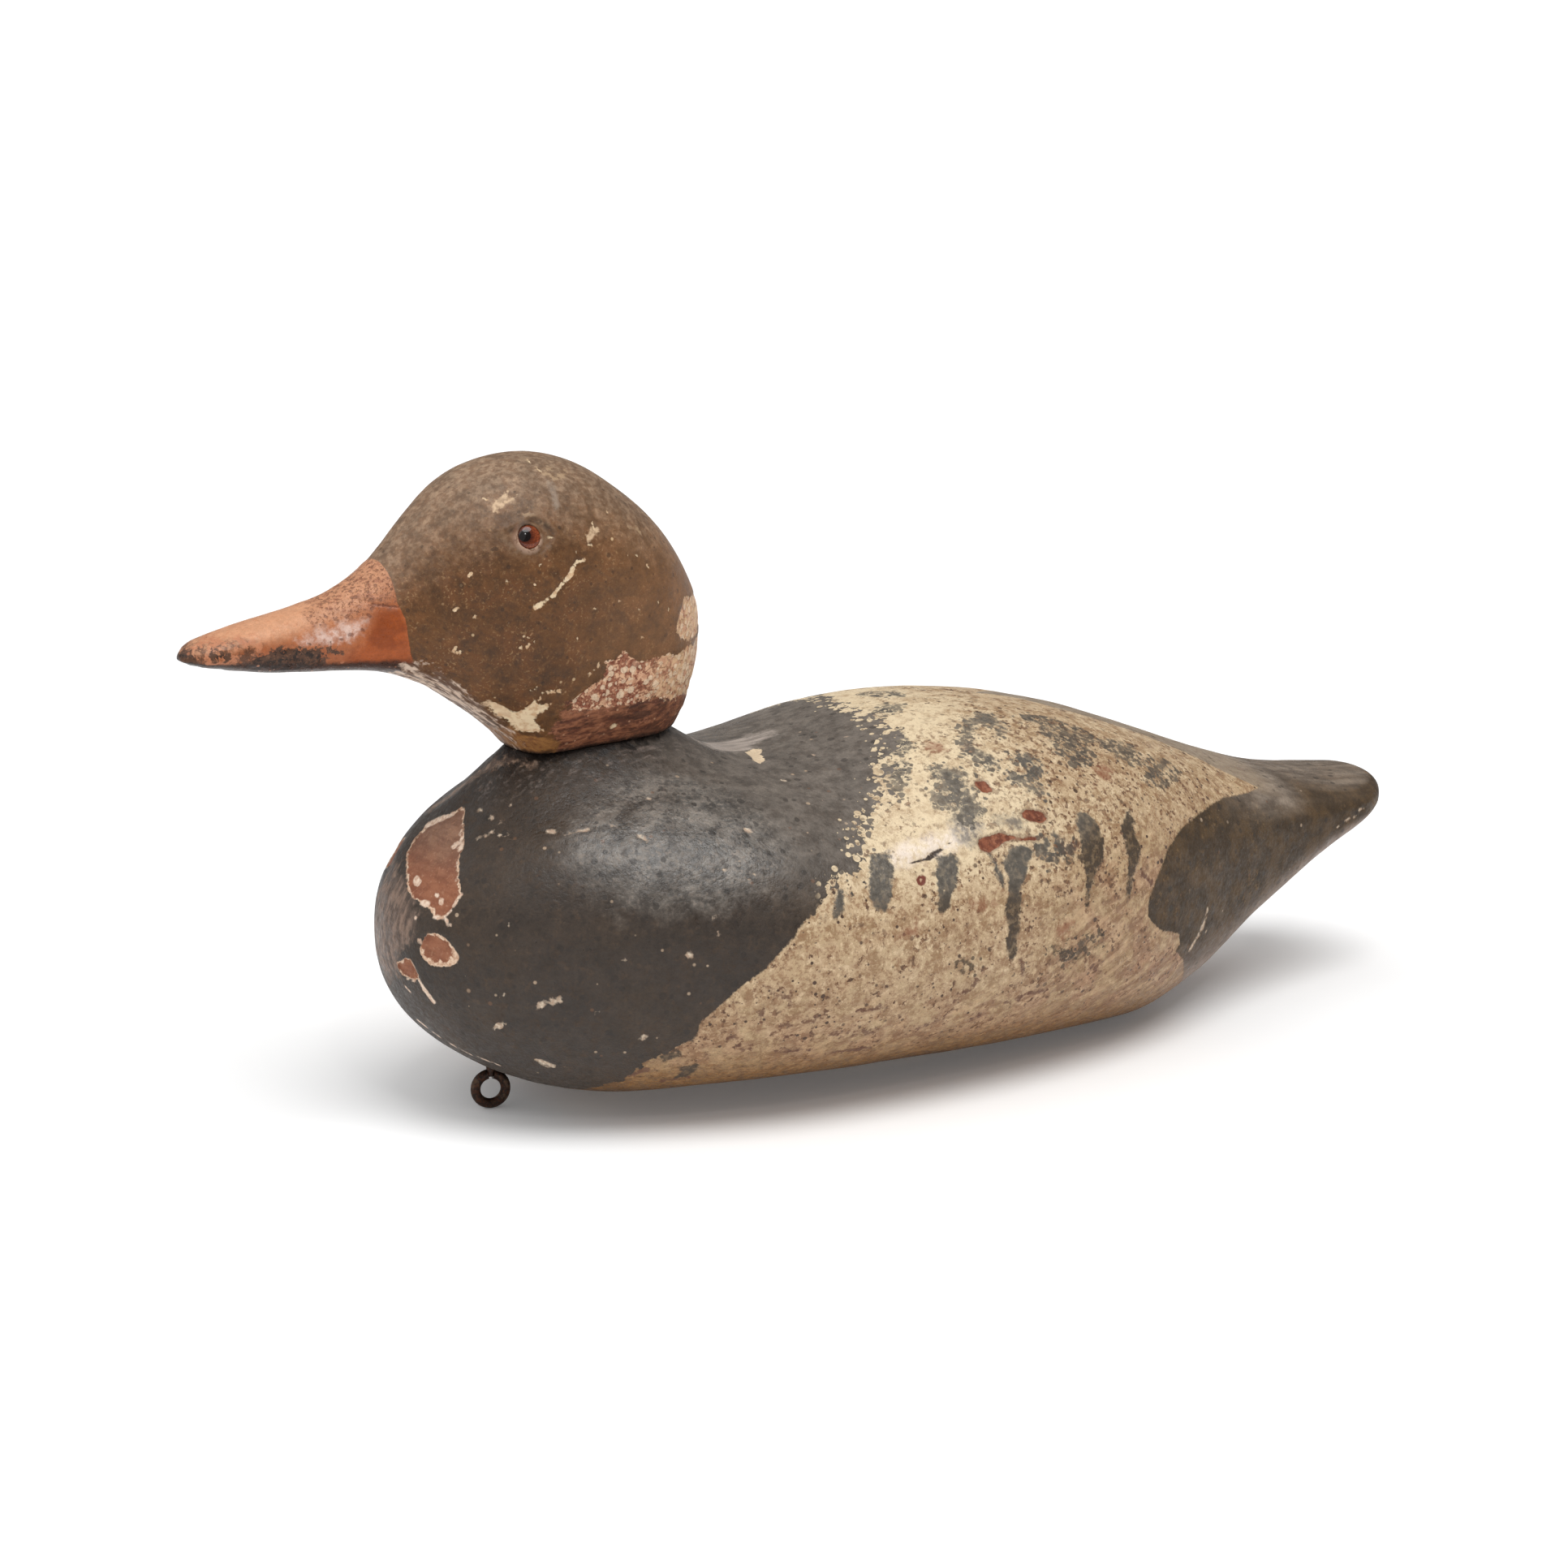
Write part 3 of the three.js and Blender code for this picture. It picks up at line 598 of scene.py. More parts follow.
def coats(colour, *laid):
    """A colour with coats laid over it in turn, each an amount and its own colour."""
    for amount, coat in laid:
        colour = cover(amount, colour, coat)
    return colour


def dim(colour, factor):
    """A colour made lighter or darker by a factor."""
    return add("ShaderNodeVectorMath", {0: colour, 3: factor}, operation="SCALE")


def tint(colour, red, green, blue):
    """A colour with each channel scaled by its own factor."""
    return add("ShaderNodeVectorMath", {0: colour, 1: (red, green, blue)}, operation="MULTIPLY")


def field(name):
    """A mark kept for each point of the mesh."""
    return add("ShaderNodeAttribute", {}, "Fac", attribute_name=name)


def millimetres(turn=(0, 0, 0), stretch=(1, 1, 1)):
    """The place on the piece in millimetres, turned and then squeezed for a pattern with a direction."""
    where = add("ShaderNodeTexCoord", {}, "Object")
    plugs = {0: where, 2: [math.radians(a) for a in turn], 3: [0.001 / s for s in stretch]}
    return add("ShaderNodeMapping", plugs, vector_type="TEXTURE")


def noise(where, size, detail=3, rough=0.6):
    plugs = {"Vector": where, "Scale": 1 / size, "Detail": detail, "Roughness": rough}
    return add("ShaderNodeTexNoise", plugs)


def loose_cells(where, spacing):
    """A loose scatter of cells: three numbers drawn for each, and the distance from its middle."""
    drawn = add("ShaderNodeTexVoronoi", {"Vector": where, "Scale": 1 / spacing}, "Color")
    numbers = add("ShaderNodeSeparateColor", {0: drawn}).socket.node.outputs
    return [Output(number) for number in numbers], Output(drawn.socket.node.outputs["Distance"])


def specks(cells, kept, largest, draw=0):
    """A round speck in the kept share of the cells, the largest radius as a part of their spacing."""
    numbers, distance = cells
    chosen = share(kept - numbers[draw], 0, 0.02)
    size = calc("MULTIPLY_ADD", numbers[1], largest, largest * 0.35)
    return share(size - distance, 0, 0.08) * chosen


body_paint, tree, shader = new_finish("old_body_paint")
at = millimetres()
lengthwise = millimetres(stretch=(0.1, 1, 1))
slanted = millimetres(turn=(0, -24, 0), stretch=(0.16, 1, 1))
fine = noise(at, 1.1, 3, 0.6)
crumb = noise(at, 2.1, 3, 0.62)
flakes = noise(at, 3.6, 1.5, 0.4)
mottle = noise(at, 5.5, 4, 0.8)
middling = noise(at, 4.4, 4, 0.66)
patches = noise(at, 9, 3, 0.6)
broad = noise(at, 22, 3, 0.5)
sandy = noise(at, 2.6, 4, 0.85)
streaky = noise(slanted, 2.6, 3, 0.6)
wide_cells, cells, small_cells = (loose_cells(at, spacing) for spacing in (4.6, 2.9, 1.8))
torn, crumbled, flaky, ragged, drifting = (n - 0.5 for n in (middling, crumb, flakes, fine, broad))

# Cream oil paint: clean on top of the back, darker and tan low down and to the rear as dirt and painted
# shade, pitted all over.
age = field("aged") + drifting * 0.4 + torn * 0.3
soiled = share(age, -0.05, 0.45, 0.4, 1)
mossy = share(patches, 0.54, 0.4) * share(age, 0.2, 0.8, 0, 0.3)
pinkish = share(patches, 0.48, 0.62) * share(age, 0.5, 1.1, 0, 0.35)
cream = coats(cover(share(age, 0, 0.5), (226, 205, 170), (188, 160, 126)),
              (share(age, 0.45, 1.1), (160, 125, 92)), (mossy, (184, 164, 120)), (pinkish, (186, 140, 110)))
soil = share(mottle, 0.48, 0.6) * share(age, -0.1, 0.35, 0.35, 1)
cream = cover(soil * 0.85, cream, tint(cream, 0.6, 0.51, 0.43))
brown_grains = share(sandy, 0.52, 0.6) * soiled * 0.8
pale_grains = share(sandy, 0.46, 0.38) * soiled * 0.7
slant = share(age, 0.35, 0.85)
grimy = field("grimy")
clots = (share(crumb + grimy * 0.02, 0.56, 0.62) * most(share(patches, 0.44, 0.58, 0.12, 1), grimy * 0.8)
         * share(age, -0.1, 0.3, 0.55, 0.95))
often = share(patches, 0.4, 0.62, 0.08, 0.55) + grimy * 0.2
pits = most(specks(cells, often, 0.24), specks(small_cells, often, 0.26))
pits = pits * share(age, -0.1, 0.3, 0.3, 1)
# An ochre to dark brown band just above the flat: staining together with painted shade where the side turns
# under.
above_flat = field("height") + torn * 9 + crumbled * 4
blush = share(field("red_stain") + torn * 9 + crumbled * 5, -1.2, 2)
marked = share(field("brown_mark") + ragged * 2 + crumbled * 8, -0.7, 0.7)
# A near-white painted highlight on the flank near the ticks.
shiny = share(field("pale_shine") + torn * 8, -2.5, 2.5)
cream = coats(cream,
              (brown_grains, cover(crumb, (124, 92, 64), (164, 126, 92))),
              (pale_grains, cover(share(age, 0.2, 0.8), (234, 212, 176), (202, 172, 136))),
              (share(streaky, 0.53, 0.63) * slant * 0.7, (132, 96, 68)),
              (share(streaky, 0.45, 0.37) * slant * 0.45, (204, 170, 132)),
              (clots, cover(share(fine, 0.4, 0.6), (128, 92, 64), (88, 60, 44))),
              (pits * share(broad, 0.38, 0.6, 0.65, 1), (78, 56, 42)), (share(above_flat, 26, 7, 0, 0.85),
               cover(share(sandy, 0.4, 0.6), (142, 98, 44), (98, 66, 30))),
              (share(above_flat, 9, 1.5, 0, 0.75), (82, 52, 22)), (blush * 0.65, (140, 88, 62)),
              (marked * 0.8, (98, 62, 46)), (shiny * share(crumb, 0.36, 0.58, 0.2, 0.85), (242, 226, 210)))

# Dark grey over it: breast, rump and back stripe, then the ticks and the rubbed dry-brush patches.
# Upward-facing dark paint is lightened: dust together with painted top light.
bloom = field("dusty") * share(middling, 0.34, 0.62, 0.5, 0.95)
# The shoulder: glossier paint, with a painted sheen of mottled light grey and dark pits laid over the
# charcoal.
polished = share(field("shoulder") + torn * 0.7 + drifting * 0.5, 0.2, 0.85)
hazy = noise(millimetres(turn=(0, 30, 0), stretch=(0.45, 1, 1)), 4.2, 3, 0.66)
ashy = coats(cover(share(hazy, 0.38, 0.62), (88, 85, 81), (126, 119, 111)),
             (share(fine, 0.5, 0.64) * 0.6, (142, 130, 119)))
sooty = most(share(crumb, 0.55, 0.62), specks(cells, 0.4, 0.36)) * polished
freckled = share(crumb, 0.57, 0.66) * share(broad, 0.4, 0.6) * 0.6
rear_tone = coats(cover(share(patches, 0.42, 0.6), (63, 46, 25), (76, 56, 31)),
                  (freckled, (118, 92, 62)))
brushed_tail = noise(lengthwise, 3.2, 4, 0.6)
# Lighter grey on the upward-facing top of the tail: a painted sheen.
top_of_tail = share(field("upward"), 0.2, 0.85) * share(field("tail_end"), 0, 1, 0.85, 0.05)
topmost = share(field("upward"), 0.86, 0.99, 0, 0.6)
top_of_tail = field("tail") * most(top_of_tail, topmost)
# Lighter grey on the rump's down-facing underside: painted light reflected from below, where the paint is
# also glossier.
below_rump = field("rump") * share(field("upward"), -0.2, -0.7) * 0.85
charcoal = coats(cover(share(broad, 0.4, 0.7), (55, 45, 37), (61, 48, 36)),
                 (share(middling, 0.5, 0.66) * 0.35, (67, 52, 39)),
                 (share(crumb, 0.55, 0.67) * 0.35, (80, 62, 46)),
                 (share(fine, 0.44, 0.34) * 0.4, (40, 33, 28)), (bloom, (112, 103, 94)),
                 (polished * share(patches, 0.36, 0.6, 0.5, 0.85), ashy), (sooty * 0.65, (56, 51, 47)),
                 (field("rump") * 0.95, rear_tone), (top_of_tail, cover(share(brushed_tail, 0.34, 0.66),
                 (110, 97, 85), (148, 134, 120))), (below_rump, (146, 127, 114)),
                 (field("stripe") * share(brushed_tail, 0.3, 0.7, 0.38, 0.8), (164, 150, 134)),
                 (specks(cells, 0.3, 0.34, 2) * 0.5, (38, 32, 27)),
                 (specks(wide_cells, 0.3, 0.15) * 0.5, (112, 78, 54)),
                 (specks(wide_cells, 0.25, 0.14, 2) * 0.8, (172, 150, 126)))
charcoal = dim(charcoal, share(sandy, 0.34, 0.66, 0.85, 1.16))
charcoal = dim(charcoal, share(patches, 0.36, 0.64, 0.9, 1.12))
loosened = field("crumble")
edge = (field("dark") + torn * share(loosened, 0, 1, 0.9, 9) + flaky * share(loosened, 0, 1, 0.3, 17)
        + ragged * 1.2)


def dotted(depth, begin, full, thickest, draw):
    """Round dots of two sizes that thicken as a depth runs from one value to another."""
    chance = share(depth, begin, full, 0, thickest)
    return most(specks(cells, chance, 0.48, draw), specks(small_cells, chance, 0.44, draw))


well_loose = share(loosened, 0.4, 0.9)
cream_dots = dotted(field("dark"), 10, 0, 0.75, 0) * well_loose
dark_dots = dotted(field("dark"), -7, 0.5, 0.5, 2) * well_loose
laid = most(share(edge, -0.3, 0.45), dark_dots * 0.9)
laid = laid * share(cream_dots, 0, 1, 1, 0.08) * share(field("stripe"), 0, 1, 1, 0.75)
brushed = field("tick") + torn * 2.6 + crumbled * 2 + ragged * 1.2
tick_on = (share(brushed, -0.6, 0.6) * share(crumb, 0.38, 0.5, 0.85, 1)
           * share(specks(small_cells, 0.1, 0.34), 0, 1, 1, 0.4))
patch_depth = field("scumble")
rubbed_on = patch_depth + torn * 6 + crumbled * 5 + 0.9
kept = field("well_kept")
thin = share(crumb, 0.4, 0.49, 0.18, 1) * share(patches, 0.4, 0.56, 0.75, 1)
thin = most(thin, kept * share(crumb, 0.36, 0.44, 0.5, 0.95))
rubbed_off = dotted(patch_depth, 8, -1, 0.95, 0) * share(kept, 0, 1, 1, 0.6)
strays = dotted(patch_depth, -4.5, 0, 0.5, 2)
scumble_on = share(rubbed_on, -0.8, 1.2) * thin * share(rubbed_off, 0, 1, 1, 0.08)
scumble_on = most(scumble_on, strays * 0.85)
soft_grey = share(field("smudge") + torn * 9, -2.5, 2.5) * share(crumb, 0.36, 0.56, 0.35, 0.95)
over = most(laid, tick_on, scumble_on)
low_down = most(share(field("height"), 68, 56), share(field("aged"), 0.28, 0.55))
grey_tick = coats(cover(share(middling, 0.46, 0.62, 0, 0.5), (94, 88, 80), (116, 107, 94)),
                  (low_down, cover(share(crumb, 0.42, 0.56), (90, 73, 53), (72, 57, 42))),
                  (share(crumb, 0.52, 0.62, 0, 0.4), (66, 57, 46)))
dark_tone = cover(laid, grey_tick, charcoal)
colour = coats(cover(soft_grey * 0.9, cream, (118, 110, 100)),
               (over, dark_tone))

# Damage: rubbed front, flecks down to the cream, chips down to red-brown wood, cracks and the seam.
rub = share(field("rubbed") + torn * 15 + drifting * 14 + crumbled * 9, -1.5, 3.5)
lines = noise(millimetres(turn=(0, 20, 0), stretch=(1, 1, 0.4)), 1.8, 4, 0.7)
bruise = cover(share(lines, 0.36, 0.66), (84, 69, 60), (144, 119, 103))
worn_line = share(field("scuff") + torn * 5 + ragged * 3, -0.6, 0.8)
greyed = share(field("back_scuff") + torn * 8, -1, 3)
fleck = share(field("primer") + ragged + crumbled * 1.8, -0.3, 0.4)
primed = cover(share(fine, 0.4, 0.62), (226, 196, 168), (192, 152, 124))
chipped = field("breast_chip") + ragged + torn
rim_on = share(chipped, -0.15, 0.2)
bare = noise(millimetres(stretch=(1, 0.3, 1)), 2.4, 4, 0.6)
weathered = cover(share(bare, 0.35, 0.68), (122, 86, 67), (148, 110, 87))
wood = coats(cover(share(bare, 0.35, 0.68), (127, 75, 51), (150, 96, 68)),
             (share(field("height") + torn * 14, 66, 80), weathered),
             (share(fine, 0.55, 0.7) * 0.4, (186, 142, 114)),
             (share(crumb, 0.54, 0.68) * 0.35, (112, 70, 50)))
bare_edge = field("breast_wood") + crumbled * 2.6 + torn * 2.2 + ragged * 0.8
chip = share(bare_edge, -0.2, 0.3) * rim_on
bead = share(field("breast_cream") + ragged + crumbled * 0.8, -0.25, 0.3)
back_bare = share(field("back_chip") + ragged * 1.6 + crumbled * 1.4, -0.2, 0.3)
redwood = coats(cover(share(bare, 0.4, 0.65), (104, 54, 36), (138, 80, 54)),
                (share(crumb, 0.5, 0.64) * 0.5, (176, 118, 88)))
red = share(field("red_chip") + ragged * 0.9, -0.2, 0.2)
# A darker ring round the red chips: painted shadow at their cut edges.
rim = share(field("red_chip") + ragged * 1.6, -1, -0.2)
hole = field("nail") + ragged * 0.7
split = share(field("crack") + ragged, -0.35, 0.1)
joint_rough = field("seam") + torn * 7 + crumbled * 4
rubbed_grey = noise(millimetres(turn=(0, 0, 12), stretch=(0.3, 1, 1)), 1.8, 3, 0.6)
filler = share(joint_rough, 11, 6) * share(rubbed_grey, 0.5, 0.72)
colour = coats(colour,
               (rub * 0.85, bruise), (worn_line * 0.8, cover(share(crumb, 0.45, 0.62), (112, 92, 78),
               (168, 142, 122))), (greyed * share(brushed_tail, 0.36, 0.62, 0.08, 0.74), (188, 174, 163)),
               (fleck * 0.92, cover(share(fine, 0.38, 0.6), (222, 204, 180), (180, 154, 132))),
               (rim_on, primed), (chip, wood), (bead, cover(share(fine, 0.42, 0.64), (232, 208, 186),
               (202, 168, 144))), (back_bare, cover(crumb, (206, 178, 146), (236, 216, 184))),
               (rim * 0.5, (110, 84, 66)), (red, redwood), (share(hole, -0.2, 0.3), (118, 62, 48)),
               (share(hole, 0.8, 1.1), (198, 164, 134)), (split * 0.95, (36, 16, 12)),
               (filler * 0.55, cover(share(crumb, 0.44, 0.6), (122, 110, 102), (150, 134, 124))),
               (share(joint_rough, 3, 0.8, 0, 0.92), (30, 24, 21)))

# The planed flat: bare worn wood with a film of old cream and dark dirt in the grain.
planks = noise(millimetres(stretch=(0.05, 1, 1)), 1.6, 4, 0.6)
film = share(noise(lengthwise, 9, 5, 0.65), 0.5, 0.62) * 0.7
underside = coats(cover(share(planks, 0.38, 0.66), (132, 98, 66), (96, 68, 46)),
                  (film, (168, 142, 108)))
under = share(field("flat") + torn * 0.6, 0.45, 0.65)
colour = cover(under * share(laid, 0.2, 0.8, 1, 0.35), colour, underside)

worn = most(chip, red, fleck)
gloss = (polished * over * -0.17 + worn * 0.2 + shiny * -0.22 + below_rump * -0.1
         + laid * field("rump") * 0.12 + 0.5)
patchy = torn * 0.6 + crumbled * 0.4 + ragged * 0.4
roughness = calc("ADD", gloss, patchy, clamp=True)
soft_skin = share(laid, 0, 1, 1, 0.45)
skin = (over * 0.22 + worn * -0.35 + torn * soft_skin * 0.9 + crumbled * 0.5 + ragged * 0.3 + sandy * 0.35
        + split * -0.5 + pits * share(laid, 0, 1, -0.3, 0))
bump = add("ShaderNodeBump", {"Strength": 0.9, "Distance": 0.0005, "Height": skin})
plug(shader, {"Base Color": colour, "Roughness": roughness, "Normal": bump, "Specular IOR Level": 0.4})

body_piece = show("decoy_body", body_mesh, body_paint)
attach(body_piece, "root")
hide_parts("body")

# The head and bill
# A second carving, round-crowned with a long narrow bill. It stands on the mound, and what fastens it
# there is hidden. It is brown over cream with an orange bill, and the neck has worn down to the wood.

# The stations of these curves are fitted to the outline too, along from the bill tip.
BILL_TIP_X = -68.4
HEAD_LENGTH = 168.2
CROWN_HEIGHT = [(0, 141.1), (19, 146.3), (38, 150.6), (57.5, 159.1), (72, 172), (86, 184), (103, 189.9),
                (119.5, 189), (138.5, 180.6), (158, 168.3), (172, 151.5)]
THROAT_HEIGHT = [(0, 136.9), (29, 132.4), (57.5, 130.7), (74.5, 125.6), (88, 117.8), (97.5, 111.3),
                 (104, 105.8), (111, 99.2), (120.5, 95.8), (143.5, 94.2), (172, 96)]
HEAD_HALF_WIDTH = [(0, 7.8), (29, 9.6), (57.5, 13), (76.5, 21.4), (95.5, 29), (119.5, 29.8),
                   (143.5, 30.8), (172, 24.8)]
CHEEK_HEIGHT = [(0, 138), (29, 140), (57.5, 139.7), (86, 153), (115, 155.5), (143.5, 148), (172, 135)]
THROAT_SQUARENESS = [(0, 2.1), (72, 2.2), (88, 2.6), (105, 2.4), (134, 1.85), (172, 2.6)]
CROWN_SQUARENESS = 2.1
BILL_TIP_ROUND = {"edge": 6.2, "side": 12.5}
NAPE_ROUND = {"top": 43.5, "bottom": 24.0, "side": 45.5}
HEAD_STATIONS, HEAD_SIDES = 320, 300

# Glass eyes stand square to the cheek, each in a small hollow under a brow, with a lid all round.
EYE_AT = np.array([29.0, 26.2, 170.6])
EYE_OUT = np.array([-0.227, 0.897, 0.38])
EYE_STATION, EYE_TURN = 97.4, 0.1545
EYE_RADIUS = 3.5
LID = {"across": 3.15, "up": 3.4, "rise": 0.95, "width": 1.25, "pocket": 2.6}
HOLLOW = {"depth": 0.5, "outline": [
    (-8.6, -0.6), (-5.6, 1.4), (-2.6, 3.6), (1.6, 6.0), (4.8, 5.0), (8.0, 2.4), (6.8, -1.6), (4.0, -4.6),
    (0.4, -5.4), (-3.6, -4.6), (-6.6, -2.8)]}

# Painted areas and damage, as x along and z up, seen from the side. The left side's points were picked
# in the photograph and worked back onto the skin, and those of the hidden right side are made up.
BILL_EDGE = [(-7.6, 172), (-6.7, 161.8), (-6.4, 159.9), (-6.1, 155.7), (-6, 152), (-4.3, 146.9),
             (-3.8, 142.2), (-2.8, 137.4), (-0.7, 133.3), (0.5, 118), (-120, 118), (-120, 190)]
BILL_DARK = [
    [(-55.4, 136.8), (-53.6, 138.4), (-50.6, 138.6), (-48.2, 139.8), (-45, 139.8), (-42.6, 141),
     (-38.9, 141.8), (-35.2, 141.2), (-31.3, 140.6), (-26.4, 139.8), (-21.4, 139), (-24.3, 137.2),
     (-27.9, 136.9), (-26.8, 135.4), (-29.1, 134.4), (-33.7, 133.8), (-41.2, 134), (-48.4, 134.6),
     (-51.7, 136.2)],
    [(-62.4, 140.4), (-59.2, 141.5), (-56.5, 140.8), (-57.3, 138.8), (-60.8, 138.6)],
    [(-72, 143), (-66.5, 142), (-64.6, 139), (-63, 136.6), (-55, 136), (-55, 134), (-72, 134)]]
BILL_DARK_RIGHT = [
    [(-60, 136), (-52, 140), (-44, 141), (-38, 138.5), (-30, 139.5), (-29, 134), (-42, 131.5), (-58, 133)],
    [(-72, 144), (-66, 143), (-65, 134), (-72, 134)], [(-20, 137), (-13, 139), (-10, 135), (-18, 133)]]
# A pinkish-white patch on the side of the bill: a painted highlight.
BILL_SHINE = [(-37, 142.6), (-28.5, 145.6), (-22.5, 147.4), (-15.5, 147), (-16.5, 143), (-22.5, 140.8),
              (-28.6, 141), (-35, 141)]
BILL_DEEP = [(-12.5, 151.2), (-4, 151.2), (0, 132), (-20, 132), (-21, 137.6), (-17, 140.4), (-14, 145.5)]
BILL_PITTED = [(-32, 149), (-24, 154), (-17, 159), (-8, 168), (-5, 160), (-5, 150.5), (-12.5, 150),
               (-16, 147.5), (-24, 146), (-31, 146)]
BILL_MOTTLED = [(-69, 141.5), (-66, 142.6), (-59.7, 143.6), (-52.3, 144.4), (-45, 142.6), (-48.5, 139.2),
                (-48, 133), (-60.8, 134), (-69, 136)]
BILL_FISSURE = [(-12.4, 151.4, -8.9, 151.0, 0.22), (-8.9, 151.0, -5.8, 150.7, 0.2),
                (-20, 143.2, -19.4, 143.3, 0.45), (-22.8, 142.2, -22.3, 142, 0.3),
                (-16.4, 144.6, -15.9, 144.2, 0.3), (-14.2, 148.6, -13.6, 148.2, 0.3)]
NECK_PATCH = [
    [(45.1, 119.8), (46.3, 121.9), (51.2, 125.5), (55.4, 127.9), (54.3, 132.1), (57.5, 132.6),
     (60.7, 135.4), (65.1, 131.4), (70.9, 130.8), (75.9, 132.1), (83.7, 131.8), (89.5, 132.8),
     (96, 134), (103, 134.5), (103, 116), (84.5, 116.6), (73.4, 118.4), (65.1, 117.4), (58.7, 117.2),
     (50.2, 116.8), (45.3, 118)]]
NECK_PATCH_RIGHT = [
    [(57, 118.5), (62, 124), (66.5, 122.2), (70, 127.4), (76.5, 128.4), (79.5, 133), (84, 130.6),
     (89.5, 134), (96, 132), (103, 134), (103, 117), (88, 115.2), (80, 118), (72, 114.4), (64, 116.8)],
    [(87, 142.5), (91, 145.6), (95, 144.2), (103, 146.6), (103, 136), (92, 138.6), (88, 140)]]
NECK_WOOD = [(44, 120), (58, 120), (70, 121), (98, 122), (98, 98), (47, 98), (45, 106), (41, 113)]
NECK_WOOD_RIGHT = [(54, 114), (64, 118), (98, 120), (98, 98), (52, 98)]
REAR_CHIPS = [[(84, 147.8), (88.6, 146.5), (96, 148), (103, 147), (103, 135), (96, 136.5), (90, 134),
               (83.1, 135.8), (79.4, 139.7), (81.4, 143.7)]]
OCHRE = [(30.6, 113.5), (34.7, 109.6), (40.1, 109.2), (45.8, 107.2), (46, 96), (30, 96), (31, 104)]
HEAD_CHIPS = [
    [(20.9, 121.6), (23.5, 121), (27.7, 118.6), (30, 117.8), (31.6, 119.4), (33.2, 122.4), (34.7, 120.8),
     (38.3, 120.6), (37.5, 118.4), (35.2, 117), (36.2, 114.5), (39.1, 111.4), (36.5, 110.8), (33.2, 111),
     (30, 114), (26.1, 116.4), (23.2, 118.6)]]
HEAD_SCRAPES = [
    [(21.9, 179.5), (25.8, 182.2), (27.2, 182.6), (26.6, 181.3), (29.3, 181.8), (27.4, 180.3),
     (24.8, 179.6), (23.5, 178.1), (22.2, 177), (21.3, 177.6)],
    [(47.3, 170), (49.4, 171.9), (51.2, 171.8), (52.6, 171), (50.5, 170.1), (49, 168.8), (47.5, 167.7),
     (47.1, 168.6)]]
HEAD_STROKES = [
    (45.8, 163.2, 43.4, 163, 0.5), (43.4, 163, 41.8, 161, 0.65), (41.8, 161, 41, 159.2, 0.8),
    (41, 159.2, 38.4, 157, 0.75), (38.4, 157, 36.6, 155.2, 0.65), (36, 154.2, 35, 153.4, 0.75),
    (34.4, 153.2, 32.6, 152.3, 0.55), (31.8, 151.6, 30.2, 150.8, 0.95), (50.2, 173.4, 50.5, 171.5, 0.35),
    (48.8, 167.4, 47.4, 167.5, 0.3), (36.4, 170.3, 35.2, 170.5, 0.42), (38.6, 189, 38.9, 189.1, 0.4),
    (39.6, 187.3, 40, 187.1, 0.5), (43.3, 165.5, 43.6, 165.7, 0.35), (31.3, 162.7, 31.9, 162.6, 0.45),
    (29.6, 157.4, 30, 157.2, 0.42), (28, 153.4, 28.2, 153.6, 0.3), (63.7, 163.2, 64.3, 162.9, 0.38),
    (60.9, 163.4, 61.1, 163.5, 0.28), (67.6, 159.9, 68.1, 159.2, 0.36), (71.5, 148.6, 71.7, 148.8, 0.35),
    (76, 146.1, 76.2, 145.6, 0.4), (49.4, 148.7, 49.7, 148.6, 0.35), (20.3, 180.9, 20.8, 180.6, 0.4),
    (56.6, 175.8, 56.7, 175.2, 0.28), (21.5, 158.7, 21.7, 158.4, 0.3), (32, 125, 32.8, 126, 0.5),
    (36.3, 124.4, 38.2, 124.8, 0.5), (39.2, 124.4, 40.2, 124.9, 0.4), (8.7, 137.6, 9, 139, 0.4),
    (49.3, 129, 53.1, 131.1, 0.4), (28, 141.7, 28.6, 142, 0.35), (12, 160, 12.6, 160.8, 0.4),
    (8, 150, 8.6, 150.6, 0.45), (13, 148, 13.6, 148.8, 0.36), (28, 139, 28.7, 139.6, 0.4),
    (10, 137, 10.6, 137.8, 0.45), (57, 150, 57.6, 150.5, 0.32), (64, 147, 64.7, 147.4, 0.35),
    (44, 140, 44.4, 140.6, 0.3), (22, 146, 22.3, 146.3, 0.28), (31.2, 125, 31.6, 125.3, 0.4),
    (34.9, 124.2, 35.2, 124.4, 0.45), (40.1, 124.1, 40.5, 124.3, 0.4), (34.4, 122.2, 34.7, 122.5, 0.4),
    (49.4, 128.6, 49.8, 128.8, 0.4), (52.2, 131.9, 52.6, 132.1, 0.4), (66, 138.5, 66.4, 138.8, 0.35),
    (26, 138.7, 26.4, 139, 0.4), (26.8, 142, 27.1, 142.3, 0.35), (30.2, 140.3, 30.5, 140.6, 0.35),
    (62.3, 110.3, 62.8, 110.8, 0.8)]
HEAD_FAINT = [
    (39.4, 187.4, 40.6, 186.4, 0.5), (41, 186.7, 42.6, 185.1, 0.5), (42.6, 185.1, 45.2, 185.3, 0.45),
    (45.2, 185.3, 47.8, 186.5, 0.5), (42.2, 187.2, 44.1, 187.5, 0.4), (62.7, 170.8, 66.1, 170.4, 0.42),
    (66.1, 170.4, 67.6, 168.4, 0.42), (33.2, 174.8, 35, 173.6, 0.5), (29.4, 176.6, 31.6, 176.6, 0.5)]
